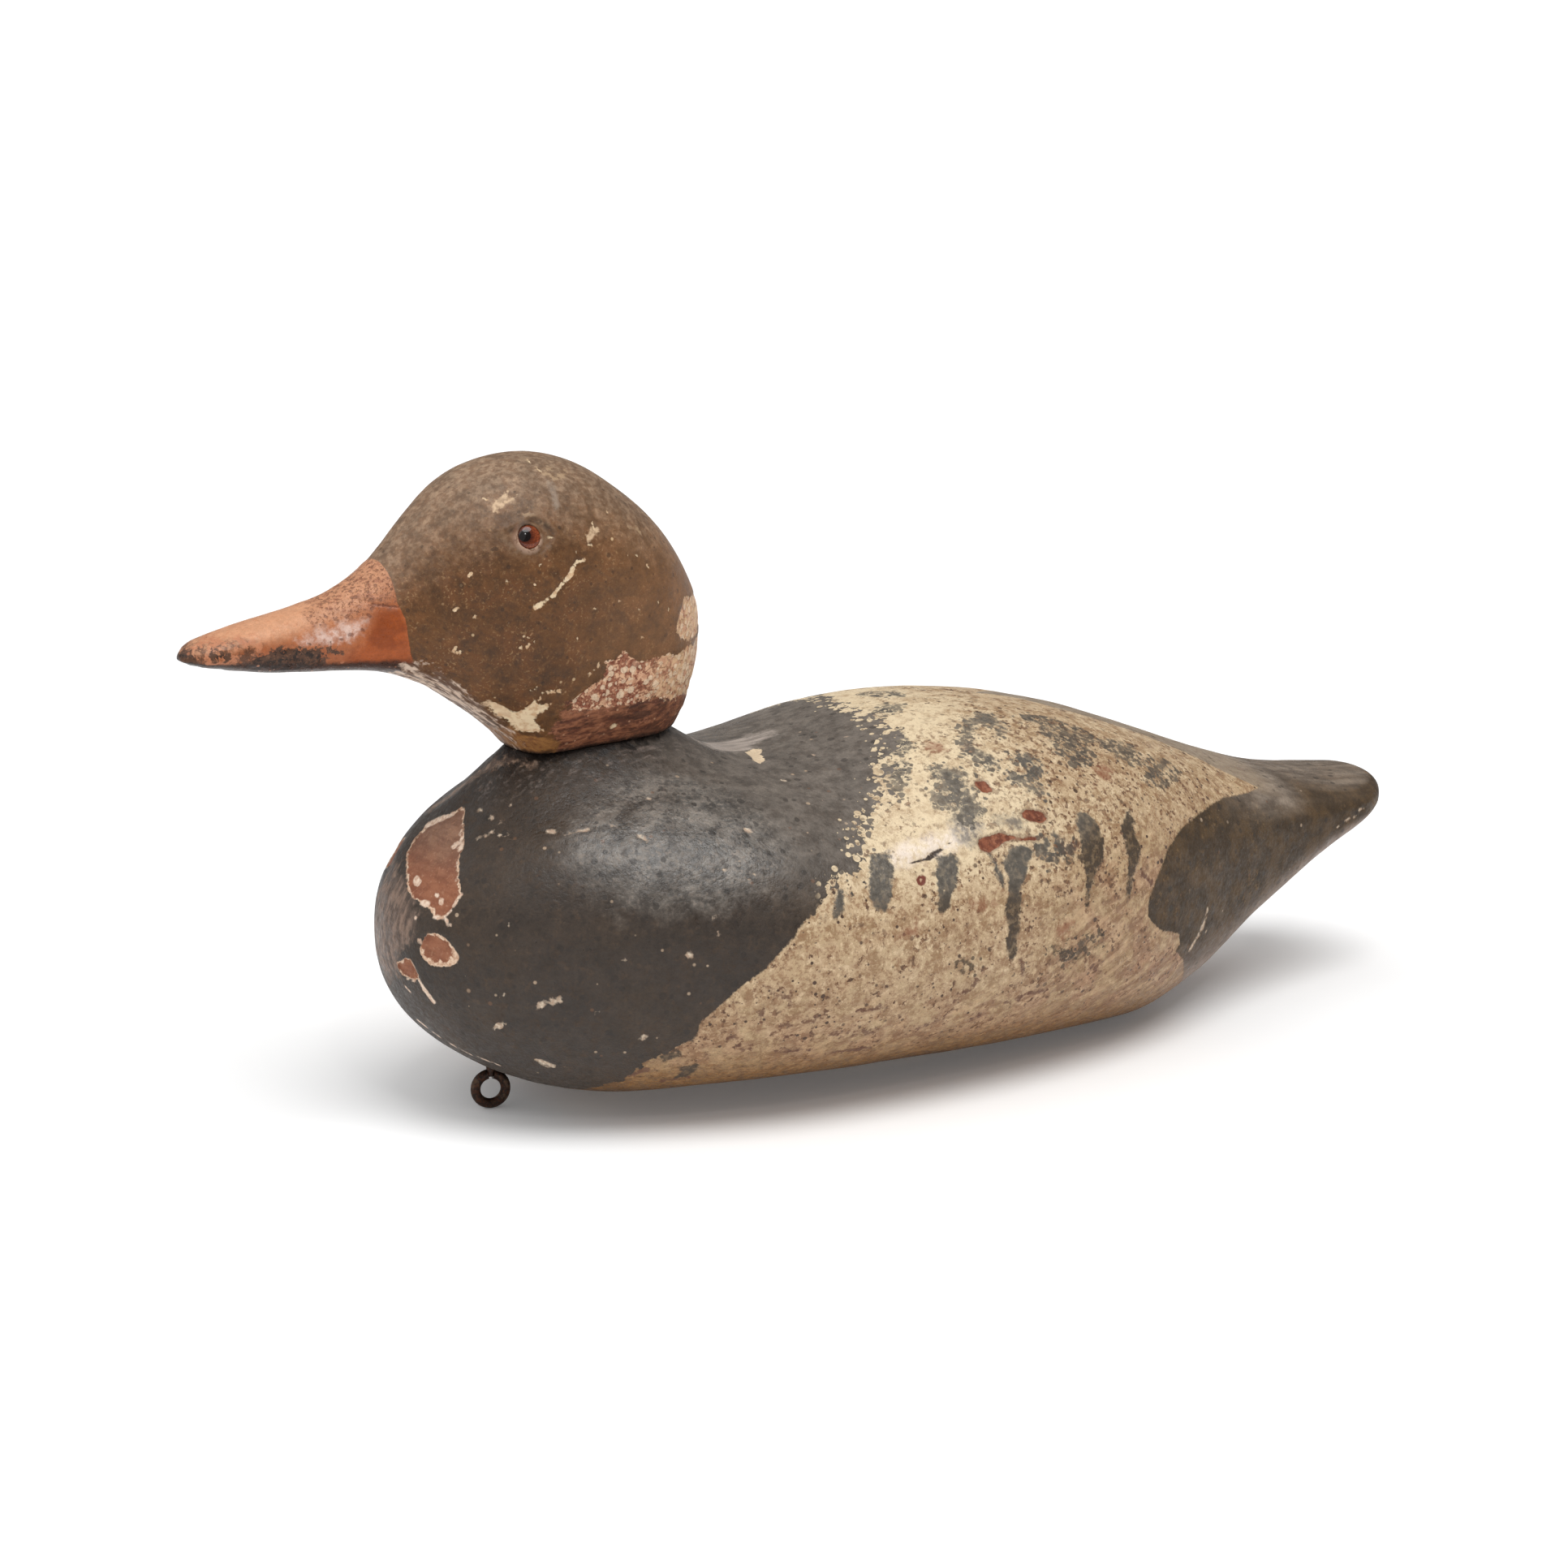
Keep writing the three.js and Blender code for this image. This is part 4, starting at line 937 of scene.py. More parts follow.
HEAD_STROKES_RIGHT = [
    (20, 150, 22.5, 147.6, 0.55), (24, 146.5, 24.7, 146, 0.65), (26.4, 144.6, 28.4, 141.8, 0.45),
    (52.6, 169.2, 53.4, 167.4, 0.7), (54, 166, 54.2, 165.4, 0.5), (10, 168, 11.4, 169.2, 0.6),
    (41, 186, 43.4, 185.6, 0.75), (44.6, 184.8, 46, 184.6, 0.45), (33, 122, 36, 120.4, 1.1),
    (37.4, 118.8, 38.4, 117.4, 0.8), (60, 150, 60.6, 150.8, 0.6), (47, 160, 47.5, 160.4, 0.5),
    (66, 155, 66.4, 155.6, 0.5), (30, 168, 30.5, 168.3, 0.4), (12, 155, 12.6, 155.6, 0.45)]
PINK_STRIP = [(21.6, 120.8, 25.3, 118.8, 0.9), (25.3, 118.8, 28.2, 117, 0.8)]
SMOKE = (40.4, 183.6, 39.8, 178.6, 0.7)
THROAT_WORN = [(-3, 133.5), (2, 132.4), (8, 130), (16, 124.4), (23, 118), (32, 109.8), (38, 103), (33, 96),
               (14, 106), (-8, 122)]


def head_rings():
    """The carved head before wear."""
    crown, throat = smooth_curve(CROWN_HEIGHT), steady_curve(THROAT_HEIGHT)
    side, cheek = smooth_curve(HEAD_HALF_WIDTH), steady_curve(CHEEK_HEIGHT)

    def section(u):
        middle, left = cheek(u), HEAD_LENGTH - u
        tip = round_end(u, BILL_TIP_ROUND["edge"])
        above = (crown(u) - middle) * tip * round_end(left, NAPE_ROUND["top"])
        below = (middle - throat(u)) * tip * round_end(left, NAPE_ROUND["bottom"])
        half = side(u) * round_end(u, BILL_TIP_ROUND["side"]) * round_end(left, NAPE_ROUND["side"])
        return half, middle, above, below

    def at_eyes(u):
        return 1 + 2.4 * np.exp(-((u - EYE_STATION) / 6.0) ** 2)

    def beside_eyes(turn):
        return 1 + 2.4 * np.exp(-((np.abs(turn - 0.5) - 0.5 + EYE_TURN) / 0.032) ** 2)

    lower = steady_curve(THROAT_SQUARENESS)
    rings = carved(HEAD_LENGTH, HEAD_STATIONS, HEAD_SIDES, section, CROWN_SQUARENESS, lower, at_eyes,
                   beside_eyes)
    rings[..., 0] += BILL_TIP_X
    return rings


head = head_rings()
seat_under_head = SEAT["z"] + SEAT["slope"] * (head[..., 0] - SEAT["x"])
head_normal = grid_normals(head)
head_x, head_y, head_z = head[..., 0], head[..., 1], head[..., 2]
left_side = head_y <= 0
ragged_head = lumps(head, 4.0, 23) * 0.6 + lumps(head, 1.8, 24) * 0.4


def per_side(left, right=(), within=inside_any):
    """The left side's field on the left and the right side's on the right."""
    return np.where(left_side, within(head_x, head_z, left), within(head_x, head_z, right))


marks = SimpleNamespace()
marks.bill = inside(head_x, head_z, BILL_EDGE)
marks.bill_dark = per_side(BILL_DARK, BILL_DARK_RIGHT) + 0.5 * ragged_head
marks.bill_shine = inside(head_x, head_z, BILL_SHINE)
marks.bill_deep = inside(head_x, head_z, BILL_DEEP)
marks.bill_pitted = inside(head_x, head_z, BILL_PITTED)
marks.bill_mottled = inside(head_x, head_z, BILL_MOTTLED)
marks.fissure = inside_strokes(head_x, head_z, BILL_FISSURE)
marks.neck_patch = per_side(NECK_PATCH + REAR_CHIPS, NECK_PATCH_RIGHT) + 0.8 * ragged_head
marks.neck_wood = per_side([NECK_WOOD], [NECK_WOOD_RIGHT]) + 0.6 * ragged_head
marks.ochre = inside_any(head_x, head_z, [OCHRE])
marks.chip = per_side(HEAD_CHIPS, [[(x + 9, z) for x, z in HEAD_CHIPS[0]]]) + 0.25 * ragged_head
marks.stroke = per_side(HEAD_STROKES, HEAD_STROKES_RIGHT, inside_strokes) + 0.12 * ragged_head
marks.faint = per_side(HEAD_FAINT, within=inside_strokes)
marks.pink_strip = np.maximum(per_side(PINK_STRIP, within=inside_strokes), per_side(HEAD_SCRAPES))
marks.smoke = per_side([SMOKE], within=inside_strokes)
marks.across = head_y
marks.behind = smooth_step(head_x, 66, 84)
marks.rearward = smooth_step(head_x, 34, 66)
marks.skyward = head_normal[..., 2]
throat_line = inside(head_x, head_z, THROAT_WORN)
marks.throat = np.minimum(throat_line, 13.0 - np.abs(head_y + 1.5)) + 0.6 * ragged_head
marks.above_seat = head_z - seat_under_head

# The hollow under the brow, the lid round each glass and the pocket behind it.
out = EYE_OUT / np.linalg.norm(EYE_OUT)
level = np.cross(out, [0.12, 0.0, 1.0])
level /= np.linalg.norm(level)
upright = np.cross(level, out)
sided = head * np.array([1, -1, 1]) * np.where(left_side, 1, -1)[..., None]
sided[..., 0] = head_x
sided[..., 2] = head_z
from_eye = sided - EYE_AT
eye_u, eye_v = from_eye @ level, from_eye @ upright
near_eye = np.linalg.norm(from_eye, axis=-1) < 22
opening = np.hypot(eye_u / LID["across"], eye_v / LID["up"])
past_rim = (opening - 1) * (LID["across"] + LID["up"]) / 2
under_brow = inside(eye_u, eye_v, HOLLOW["outline"])
hollow = -HOLLOW["depth"] * smooth_step(under_brow, -0.5, 0.6) * smooth_step(eye_v, -6.0, -1.0)
brow = 0.35 * np.exp(-((under_brow + 0.9) / 0.8) ** 2) * smooth_step(eye_v, 0.5, 3.0)
lid = (LID["rise"] - hollow) * smooth_step(past_rim, LID["width"] + 0.7, 0.35)
pocket = -LID["pocket"] * smooth_step(past_rim, 0.1, -0.12)
eye_relief = np.where(near_eye, hollow + brow + lid + pocket, 0)
marks.lid = np.where(near_eye, smooth_step(past_rim, 2.0, 0.5) * smooth_step(-eye_v, -1.6, 1.0), 0)
marks.lid_left = np.where(near_eye, smooth_step(-eye_u, 2.8, 3.6) * smooth_step(past_rim, 2.4, 1.0), 0)
# A darker band along the fold under the brow: painted shadow of the brow over the eye.
brow_fold = smooth_step(under_brow, -0.9, 0.5) * smooth_step(under_brow, 2.1, 0.6)
marks.crease = np.where(near_eye, brow_fold * smooth_step(eye_v, 0.3, 1.8), 0)
marks.socket = np.where(near_eye, smooth_step(under_brow, -2.5, 1.5), 0)

cut = 0.22 * lumps(head, 18.0, 31) + 0.10 * lumps(head, 7.0, 32) + 0.04 * lumps(head, 2.5, 33)
cut -= 0.35 * smooth_step(marks.neck_patch, -0.5, 0.8) * (0.7 + 0.5 * lumps(head, 3.0, 34))
cut -= 0.3 * smooth_step(marks.chip, -0.3, 0.4) + 0.28 * smooth_step(marks.stroke, -0.3, 0.3)
cut -= 0.22 * smooth_step(marks.neck_wood, -0.5, 1.0) * (0.6 + 0.8 * lumps(head * [0.3, 0.3, 2.2], 4.0, 35))
cut -= 0.3 * smooth_step(marks.bill_dark, -0.4, 0.8) * (0.6 + 0.6 * lumps(head, 3.0, 36))
cut += 0.25 * smooth_step(marks.bill, -0.4, 0.5) * smooth_step(-head_x, -2, 12)
cut -= 0.25 * smooth_step(marks.fissure, -0.3, 0.1)
cut -= 0.12 * smooth_step(marks.bill_pitted, -1, 1) * lumps(head, 2.0, 37)
throat_cuts = np.cos(head_y * 1.7 + 3 * lumps(head, 6.0, 38))
cut -= 0.3 * smooth_step(marks.throat, -0.5, 1.0) * (0.5 + 0.5 * throat_cuts)
head = head + head_normal * (cut + eye_relief)[..., None]
head[..., 2] = np.maximum(head[..., 2], seat_under_head)

head_mesh = skin_mesh("head_carving", head, vars(marks))

head_paint, tree, shader = new_finish("old_head_paint")
at = millimetres()
fine = noise(at, 0.9, 3, 0.6)
crumb = noise(at, 1.9, 3, 0.62)
middling = noise(at, 4, 5, 0.66)
patches = noise(at, 8, 3, 0.6)
broad = noise(at, 17, 3, 0.5)
sandy = noise(at, 2.2, 6, 0.9)
swept = noise(millimetres(turn=(0, 35, 0), stretch=(0.2, 1, 1)), 1.6, 3, 0.6)
torn, crumbled, ragged, drifting = (n - 0.5 for n in (middling, crumb, fine, patches))
wide_cells, cells, small_cells = (loose_cells(at, spacing) for spacing in (4.4, 2.4, 1.5))

# Brown head: dull olive-brown, rusty and dark in patches, pricked through to the cream, with a painted
# mauve-grey sheen on top.
grainy = share(fine, 0.57, 0.65) * share(patches, 0.46, 0.6) * 0.3
sky = share(field("skyward") + torn * 0.6, 0.15, 0.95)
mauve = cover(share(crumb, 0.38, 0.64), (130, 104, 82), (162, 137, 113))
brown = coats(cover(share(broad, 0.38, 0.66), (103, 67, 36), (89, 58, 32)),
              (share(patches, 0.46, 0.62) * 0.4, (101, 61, 33)),
              (share(middling, 0.5, 0.38) * 0.4, (72, 50, 33)),
              (share(crumb, 0.54, 0.66) * 0.35, (122, 84, 50)),
              (share(swept, 0.54, 0.68) * 0.35, (70, 50, 35)),
              (share(fine, 0.56, 0.66) * 0.35, (138, 102, 66)), (field("rearward") * 0.35, (138, 100, 68)),
              (field("behind") * 0.28, (148, 104, 68)), (grainy, (164, 132, 94)), (sky * 0.82, mauve),
              (specks(cells, 0.12, 0.16) * 0.5, (166, 134, 98)),
              (specks(wide_cells, 0.12, 0.13) * 0.85, (206, 176, 136)),
              (specks(cells, 0.3, 0.24, 2) * 0.5, (54, 40, 30)))
brown = dim(brown, share(sandy, 0.34, 0.66, 0.78, 1.19))
brown = dim(brown, share(patches, 0.36, 0.64, 0.88, 1.12))
smoky = share(field("smoke") + torn * 6 + ragged * 2, -1.2, 0.8)
brown = cover(smoky * 0.5, brown, (158, 144, 130))

# Orange bill: worn at the cutting edges to dark primer, pitted and crazed where it meets the face.
# The upward-facing top of the bill is a lighter peach: painted top light.
bright = share(field("skyward") + torn * 0.5, 0.1, 0.75)
deep = share(field("bill_deep") + torn * 5, -2, 3)
rusted = cover(share(patches, 0.4, 0.6), (168, 80, 28), (138, 62, 20))
# A pinkish-white patch on the side of the bill: a painted highlight.
pale_shine = share(field("bill_shine") + torn * 9, -1.4, 2.2)
pitted = share(field("bill_pitted") + torn * 6, -1.5, 1.5)
smut = most(specks(small_cells, 0.6, 0.28), share(fine, 0.54, 0.62) * 0.8)
mottled = share(field("bill_mottled") + torn * 5, -0.5, 1)
blotch = share(middling + crumbled * 0.5, 0.43, 0.53)
rift = share(field("fissure") + ragged * 0.8, -0.3, 0.05)
orange = coats(cover(share(broad, 0.35, 0.65), (180, 108, 68), (168, 96, 58)),
               (share(middling, 0.48, 0.65) * 0.5, (150, 84, 52)), (bright * 0.8, (222, 166, 128)),
               (share(crumb, 0.52, 0.66) * 0.35, (198, 126, 86)), (deep * 0.85, rusted),
               (pale_shine * share(crumb, 0.36, 0.56, 0.3, 0.85), (232, 202, 188)),
               (pitted * share(crumb, 0.5, 0.62) * 0.55, (152, 100, 76)),
               (pitted * smut * 0.65, (116, 76, 58)),
               (specks(wide_cells, 0.2, 0.1, 2) * 0.7, (126, 80, 60)),
               (mottled * share(crumb, 0.36, 0.5, 0.3, 0.9), cover(blotch, (92, 62, 45), (190, 126, 92))),
               (rift * 0.6, (110, 62, 44)))
bare_bill = share(field("bill_dark") + torn * 6 + crumbled * 8 + ragged * 3 - 0.3, -0.5, 0.6)
soot = coats(cover(share(crumb, 0.42, 0.56), (42, 29, 22), (86, 58, 42)),
             (share(fine, 0.55, 0.66) * 0.5, (140, 96, 72)),
             (specks(cells, 0.3, 0.3) * 0.6, (176, 110, 76)))
orange = dim(orange, share(sandy, 0.34, 0.66, 1.06, 0.8))
orange = cover(pitted, orange, tint(orange, 0.86, 0.82, 0.8))
# Near-black along the bill's down-facing underside: dark paint together with painted shade under the bill.
underline = share(field("skyward") + torn * 0.45, -0.45, -0.7)
orange = coats(orange,
               (bare_bill, soot), (underline * 0.92, cover(specks(cells, 0.3, 0.22, 2), (34, 22, 18),
               (170, 120, 94))))
bill_on = share(field("bill") + ragged * 0.5, -0.12, 0.14)
colour = cover(bill_on, brown, orange)

# Worn neck: cream primer broken over red-brown wood, ochre at the front, light streaks on the throat.
wood_grain = noise(millimetres(turn=(0, -6, 0), stretch=(0.3, 1, 1)), 1.5, 5, 0.72)
streaked = noise(millimetres(turn=(0, -6, 0), stretch=(0.35, 1, 1)), 3.4, 3, 0.6)
wood_on = share(field("neck_wood") + torn * 11 + crumbled * 6, -0.9, 1.1)
neck = coats(cover(share(wood_grain, 0.38, 0.62), (98, 57, 41), (158, 103, 73)),
             (share(patches, 0.5, 0.62) * 0.4, (78, 48, 38)),
             (specks(cells, 0.4, 0.22) * 0.8, (196, 150, 118)),
             (share(crumb, 0.58, 0.68) * 0.6, (176, 118, 88)),
             (share(streaked, 0.54, 0.64) * 0.55, (50, 31, 25)))
golden = cover(share(wood_grain, 0.35, 0.65), (158, 110, 62), (118, 76, 44))
ochre_on = share(field("ochre") + torn * 3, -0.4, 0.6)
patch_edge = field("neck_patch") + torn * 5.5 + crumbled * 3 + ragged * 1.5
patch_on = share(patch_edge, -0.2, 0.25)
crazed = share(calc("ABSOLUTE", noise(at, 3, 3, 0.55) - 0.5), 0.05, 0.0175)
rotten = middling + field("behind") * -0.12
bared = share(rotten, 0.5, 0.56)
lumpy = most(specks(cells, 0.7, 0.46), specks(small_cells, 0.45, 0.42) * 0.8)
plaster = coats(cover(share(crumb, 0.42, 0.58), (206, 152, 120), (230, 184, 148)),
                (crazed * share(rotten, 0.3, 0.44, 0.2, 0.9), (146, 82, 60)),
                (bared, cover(share(fine, 0.42, 0.6), (132, 74, 54), (178, 118, 90))),
                (field("behind") * share(crumb, 0.4, 0.56, 0.1, 0.7), (224, 186, 142)),
                (lumpy * 0.85, (242, 212, 180)))
throat_on = share(field("throat") + torn * 12 + crumbled * 6, -0.8, 1.6)
ripples = calc("SINE", field("across") * 1.6 + drifting * 10)
ripples = swept + ripples * 0.06 + crumbled * 0.25
pale = cover(share(ripples, 0.44, 0.6), (98, 72, 56), (208, 184, 164))
chip_edge = field("chip") + ragged * 1.6 + crumbled * 1.6
stroke_edge = field("stroke") + ragged * 0.9 + crumbled * 1.5
chip_on = most(share(chip_edge, -0.15, 0.3), share(stroke_edge, -0.1, 0.25))
pinked = share(field("pink_strip") + ragged * 1.4 + crumbled * 1.4, -0.3, 0.4)
faint_on = share(field("faint") + ragged * 1.6 + crumbled * 2, -0.3, 0.4)
seam_rough = field("above_seat") + torn * 4
colour = coats(colour,
               (wood_on, neck), (ochre_on, golden), (patch_on, plaster), (throat_on, pale),
               (chip_on, cover(share(crumb, 0.44, 0.66), (232, 208, 172), (206, 168, 130))),
               (pinked * share(crumb, 0.36, 0.56, 0.45, 0.9), (212, 182, 148)),
               (faint_on * 0.5, (190, 160, 126)), (field("socket") * share(crumb, 0.36, 0.6, 0.1, 0.65),
               (126, 100, 76)), (field("crease") * share(crumb, 0.38, 0.6, 0.35, 0.9), (70, 51, 38)),
               (field("lid_left") * 0.6, (126, 92, 72)),
               (field("lid") * share(crumb, 0.38, 0.54, 0.15, 0.85), (178, 146, 124)),
               (share(seam_rough, 1.8, 0.2, 0, 0.85), (38, 28, 24)))

glossy = bill_on * (1 - most(patch_on, wood_on))
patchy = torn * 0.5 + ragged * 0.4
roughness = calc("ADD", glossy * -0.16 + 0.5, patchy, clamp=True)
skin = (bill_on * 0.2 + patch_on * -0.35 + chip_on * -0.3 + torn * 0.6 + crumbled * 0.35 + ragged * 0.25
        + swept * 0.2 + wood_on * wood_grain * 0.8 + sandy * 0.2 + patch_on * crazed * -0.5
        + patch_on * lumpy * 0.4 + bill_on * smut * pitted * -0.4)
bump = add("ShaderNodeBump", {"Strength": 0.9, "Distance": 0.0005, "Height": skin})
plug(shader, {"Base Color": colour, "Roughness": roughness, "Normal": bump, "Specular IOR Level": 0.28})

head_piece = show("decoy_head", head_mesh, head_paint)
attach(head_piece, "root")
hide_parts("head")

# The glass eyes
# Two glass eyes, red-brown with a black pupil, each in a drilled pocket and looking a little forward.
# What holds them is hidden. The right one is the left one mirrored.

EYE_DOME = 1.3
EYE_RIM = 0.2
EYE_DEPTH = 2.4
PUPIL = {"radius": 1.75, "forward": 1.35}
EYE_SIDES, EYE_STEPS = 64, 26


def glass_eye(name, side):
    """A domed disc with its iris and pupil, seen square on, as distances from their centres."""
    face = np.array([out[0], side * out[1], out[2]])
    forward = np.array([level[0], side * level[1], level[2]])
    raised = np.array([upright[0], side * upright[1], upright[2]])
    rounds = [(EYE_RADIUS * 0.9, -EYE_DEPTH), (EYE_RADIUS, -EYE_DEPTH + 0.3), (EYE_RADIUS, EYE_RIM)]
    for step in range(1, EYE_STEPS):
        a = math.pi / 2 * step / EYE_STEPS
        rounds.append((EYE_RADIUS * math.cos(a), EYE_RIM + EYE_DOME * math.sin(a)))
    turn = np.linspace(0, 2 * math.pi, EYE_SIDES, endpoint=False) * side
    rings, iris, pupil = [], [], []
    for radius, height in rounds:
        u, v = radius * np.cos(turn), radius * np.sin(turn)
        centre = EYE_AT * np.array([1, side, 1])
        rings.append(centre + u[:, None] * forward + v[:, None] * raised + height * face)
        iris.append(np.hypot(u, v))
        pupil.append(np.hypot(u - lead * PUPIL["forward"], v))
    ends = centre - EYE_DEPTH * face, centre + (EYE_RIM + EYE_DOME) * face
    return skin_mesh(name, np.array(rings), {"iris": np.array(iris), "pupil": np.array(pupil)}, ends)


lead = -1.0 if level[0] > 0 else 1.0
eye_glass, tree, shader = new_finish("eye_glass")
at = millimetres()
threads = noise(at, 0.5, 3, 0.6)
# The iris darkens round the pupil and towards the front: its own dark ring together with painted shade from
# the lid.
near_pupil = share(field("pupil"), PUPIL["radius"] + 2, PUPIL["radius"])
iris_tone = coats(cover(share(threads, 0.35, 0.65), (92, 39, 21), (146, 72, 38)),
                  (near_pupil * 0.8, (60, 24, 16)))
pupil_on = share(field("pupil"), PUPIL["radius"] + 0.2, PUPIL["radius"] - 0.2)
colour = cover(pupil_on, iris_tone, (16, 9, 7))
plug(shader, {"Base Color": colour, "Roughness": share(threads, 0.3, 0.7, 0.16, 0.24),
              "Specular IOR Level": 0.08, "Coat Weight": 0.6, "Coat Roughness": 0.03, "Coat IOR": 1.52})

for name, side in (("left", -1), ("right", 1)):
    eye_piece = show("glass_eye_" + name, glass_eye("eye_" + name + "_glass", side), eye_glass)
    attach(eye_piece, "root")
    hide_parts("eye_" + name)

# The line eye
# An iron screw eye under the breast for the anchor line: round wire bent to a ring with its end
# against the shank. The rest of the shank is hidden in the breast, and gets a wood screw's thread.

RING_X = 34.2
RING_OUTER_RADIUS = 6.1
WIRE_RADIUS = 1.5
RING_TURN = math.radians(-15)
RING_START, RING_SWEEP = math.radians(101), math.radians(338)
SHANK_TOP = 22.0
THREAD_RADIUS = 0.28
THREAD_START, THREAD_ENDS = 2.5, 3.0
SCREW_EYE = {"Ring radius": RING_OUTER_RADIUS - WIRE_RADIUS, "Wire radius": WIRE_RADIUS,
             "Shank radius": 1.25, "Shank foot": 4.0, "Shank top": SHANK_TOP - RING_OUTER_RADIUS,
             "Thread pitch": 1.6}

tree = bpy.data.node_groups.new("screw eye", "GeometryNodeTree")
tree.interface.new_socket("Geometry", in_out="OUTPUT", socket_type="NodeSocketGeometry")
for name, size in SCREW_EYE.items():
    item = tree.interface.new_socket(name, in_out="INPUT", socket_type="NodeSocketFloat")
    item.default_value = size
tree.interface.new_socket("Finish", in_out="INPUT", socket_type="NodeSocketMaterial")
given = {item.name: Output(item) for item in tree.nodes.new("NodeGroupInput").outputs}


def wire_along(path, radius, sides=28):
    """Round wire that follows a path, with closed ends."""
    section = add("GeometryNodeCurvePrimitiveCircle", {"Resolution": sides, "Radius": radius})
    return add("GeometryNodeCurveToMesh", {"Curve": path, "Profile Curve": section, "Fill Caps": True})


def height_of(size):
    return add("ShaderNodeCombineXYZ", {2: size})


ring = add("GeometryNodeCurveArc", {"Resolution": 72, "Radius": given["Ring radius"],
                                    "Start Angle": RING_START, "Sweep Angle": RING_SWEEP})
ring = add("GeometryNodeTransform", {"Geometry": ring, "Rotation": (math.radians(90), 0, 0)})
shank = add("GeometryNodeCurvePrimitiveLine", {"Start": height_of(given["Shank foot"]),
                                               "End": height_of(given["Shank top"])})
thread_run = given["Shank top"] - given["Shank foot"] - THREAD_ENDS
thread = add("GeometryNodeCurveSpiral", {"Resolution": 24, "Height": thread_run,
                                         "Rotations": calc("DIVIDE", thread_run, given["Thread pitch"]),
                                         "Start Radius": given["Shank radius"],
                                         "End Radius": given["Shank radius"]})
thread = add("GeometryNodeTransform", {"Geometry": thread,
                                       "Translation": height_of(given["Shank foot"] + THREAD_START)})
joined = add("GeometryNodeJoinGeometry", {})
for wire in (wire_along(ring, given["Wire radius"]), wire_along(shank, given["Shank radius"]),
             wire_along(thread, THREAD_RADIUS, 6)):
    plug(joined.socket.node, {0: wire})
real = add("GeometryNodeRealizeInstances", {"Geometry": joined})
coated = add("GeometryNodeSetMaterial", {"Geometry": real, "Material": given["Finish"]})
plug(tree.nodes.new("NodeGroupOutput"), {0: coated})
wire_bend = tree

iron, tree, shader = new_finish("browned_iron")
at = millimetres()
rust = noise(at, 0.9, 4, 0.65)
colour = coats(cover(share(rust, 0.45, 0.62), (46, 33, 27), (84, 52, 36)),
               (share(noise(at, 2.5, 3), 0.52, 0.66) * 0.5, (104, 82, 64)))
bump = add("ShaderNodeBump", {"Strength": 0.6, "Distance": 0.0002, "Height": rust})
plug(shader, {"Base Color": colour, "Roughness": share(rust, 0.35, 0.65, 0.28, 0.6), "Normal": bump,
              "Metallic": 0.65})

draft = bpy.data.objects.new("line_eye_draft", bpy.data.meshes.new("line_eye_draft"))
bpy.context.scene.collection.objects.link(draft)
bender = draft.modifiers.new("bend", "NODES")
bender.node_group = wire_bend
for item in wire_bend.interface.items_tree:
    if item.in_out == "INPUT":
        bender[item.identifier] = SCREW_EYE.get(item.name, iron)
bpy.context.view_layer.update()
evaluated = draft.evaluated_get(bpy.context.evaluated_depsgraph_get())
eye_wire = bpy.data.meshes.new_from_object(evaluated)
draft.modifiers.clear()
bpy.data.objects.remove(draft)
place = Matrix.Translation(Vector(((RING_X - BREAST_TO_CENTRE) * 0.001, 0, RING_OUTER_RADIUS * 0.001)))
eye_wire.transform(place @ Matrix.Rotation(RING_TURN, 4, "Z") @ Matrix.Scale(0.001, 4))
eye_wire.polygons.foreach_set("use_smooth", [True] * len(eye_wire.polygons))
line_eye = show("decoy_line_eye", eye_wire, iron)
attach(line_eye, "root")
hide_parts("line_eye")

# The table, the light and the view
# A plain near-white sheet, a large soft light overhead and in front, and even white surroundings.

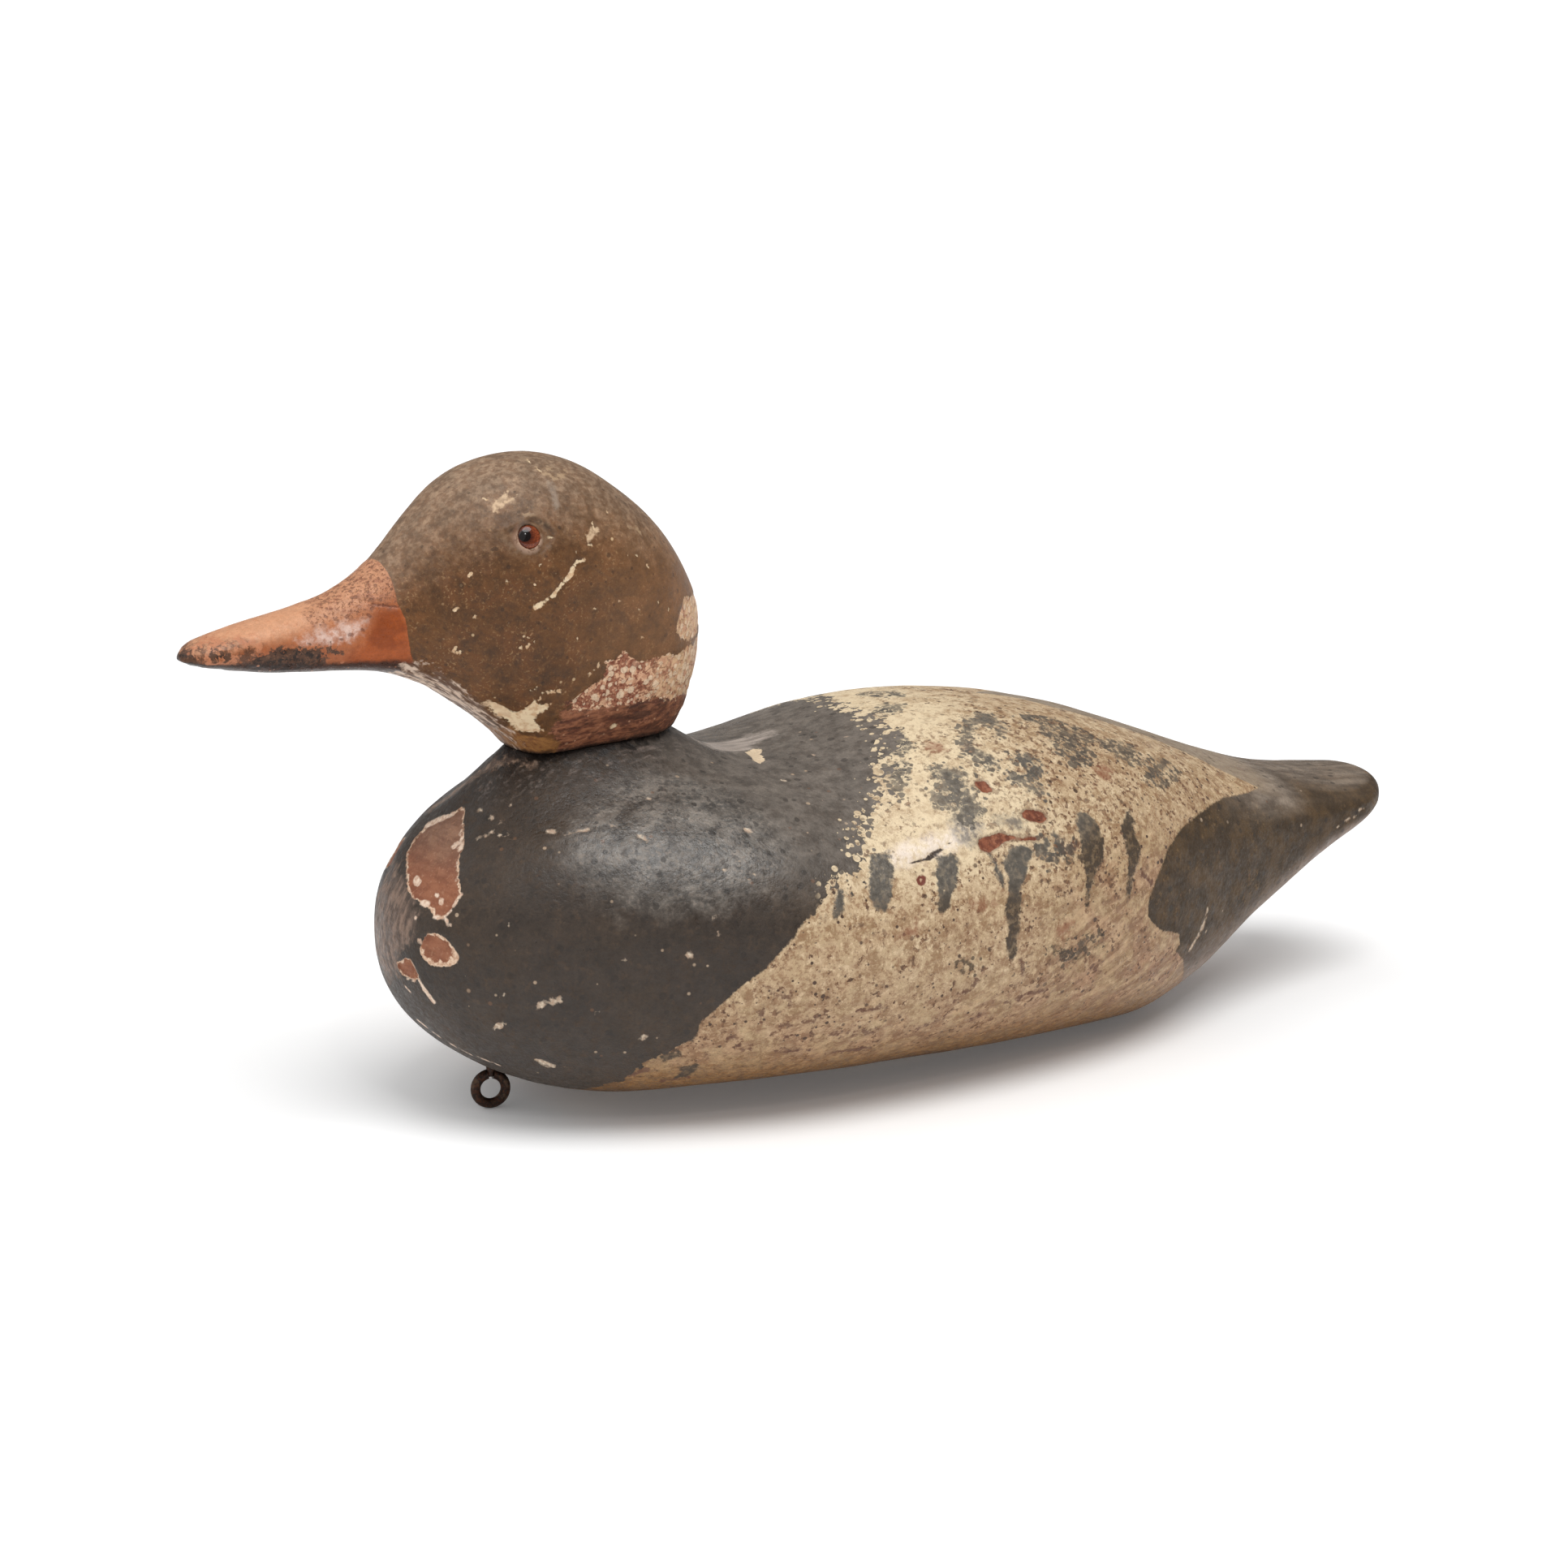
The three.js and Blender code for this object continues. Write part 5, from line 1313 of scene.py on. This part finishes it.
ROOM_LIGHT = 0.22
FLOOR_GLOW = 0.08
FLOOR_REACH = 8.0
floor_finish, tree, shader = new_finish("pale_floor")
plug(shader, {"Base Color": (0.96, 0.96, 0.96, 1), "Roughness": 0.8, "Specular IOR Level": 0.1,
              "Emission Color": (1, 1, 1, 1), "Emission Strength": FLOOR_GLOW})
floor_mesh = bpy.data.meshes.new("floor")
corners = [(x * FLOOR_REACH, y * FLOOR_REACH, 0) for x, y in ((-1, -1), (1, -1), (1, 1), (-1, 1))]
floor_mesh.from_pydata(corners, [], [(0, 1, 2, 3)])
floor = show("floor", floor_mesh, floor_finish)

world = bpy.data.worlds.new("white_room")
bpy.context.scene.world = world
world.use_nodes = True
tree = world.node_tree
seen = add("ShaderNodeLightPath", {}, "Is Camera Ray")
brightness = add("ShaderNodeMapRange", {0: seen, 3: ROOM_LIGHT, 4: 1})
plug(tree.nodes["Background"], {0: (1, 1, 1, 1), 1: brightness})

LAMP_DISTANCE = 3.0


def towards(azimuth, elevation):
    """A direction in degrees. Azimuth 0 faces the left side, minus is towards the bill."""
    a, e = math.radians(azimuth), math.radians(elevation)
    return Vector((math.sin(a) * math.cos(e), -math.cos(a) * math.cos(e), math.sin(e)))


def stand(name, data, away, place):
    """A lamp or a camera at a place, looking back along the direction it stands away in."""
    holder = bpy.data.objects.new(name, data)
    holder.location = place
    holder.rotation_euler = away.to_track_quat("Z", "Y").to_euler()
    bpy.context.scene.collection.objects.link(holder)
    return holder


def soft_light(name, azimuth, elevation, spread, strength):
    """An even soft lamp far away."""
    lamp = bpy.data.lights.new(name, "SUN")
    lamp.angle, lamp.energy = math.radians(spread), strength * math.pi
    away = towards(azimuth, elevation)
    stand(name, lamp, away, away * LAMP_DISTANCE)


soft_light("window_box", 4, 69, 38, 0.58)
soft_light("bare_bulb", -13, 44, 4, 0.03)
soft_light("front_box", -50, 38, 60, 0.10)
soft_light("side_box", -120, 58, 80, 0.38)

VIEW_TARGET = Vector((-0.01219, 0, 0.08599))
VIEW_DISTANCE = 1.5
LENS, SENSOR_WIDTH = 112.64, 36.0
view = towards(-32, 14.3)
camera_data = bpy.data.cameras.new("camera")
camera_data.lens, camera_data.sensor_width = LENS, SENSOR_WIDTH
camera = stand("camera", camera_data, view, VIEW_TARGET + view * VIEW_DISTANCE)
bpy.context.scene.camera = camera
bpy.context.scene.view_settings.view_transform = "Standard"
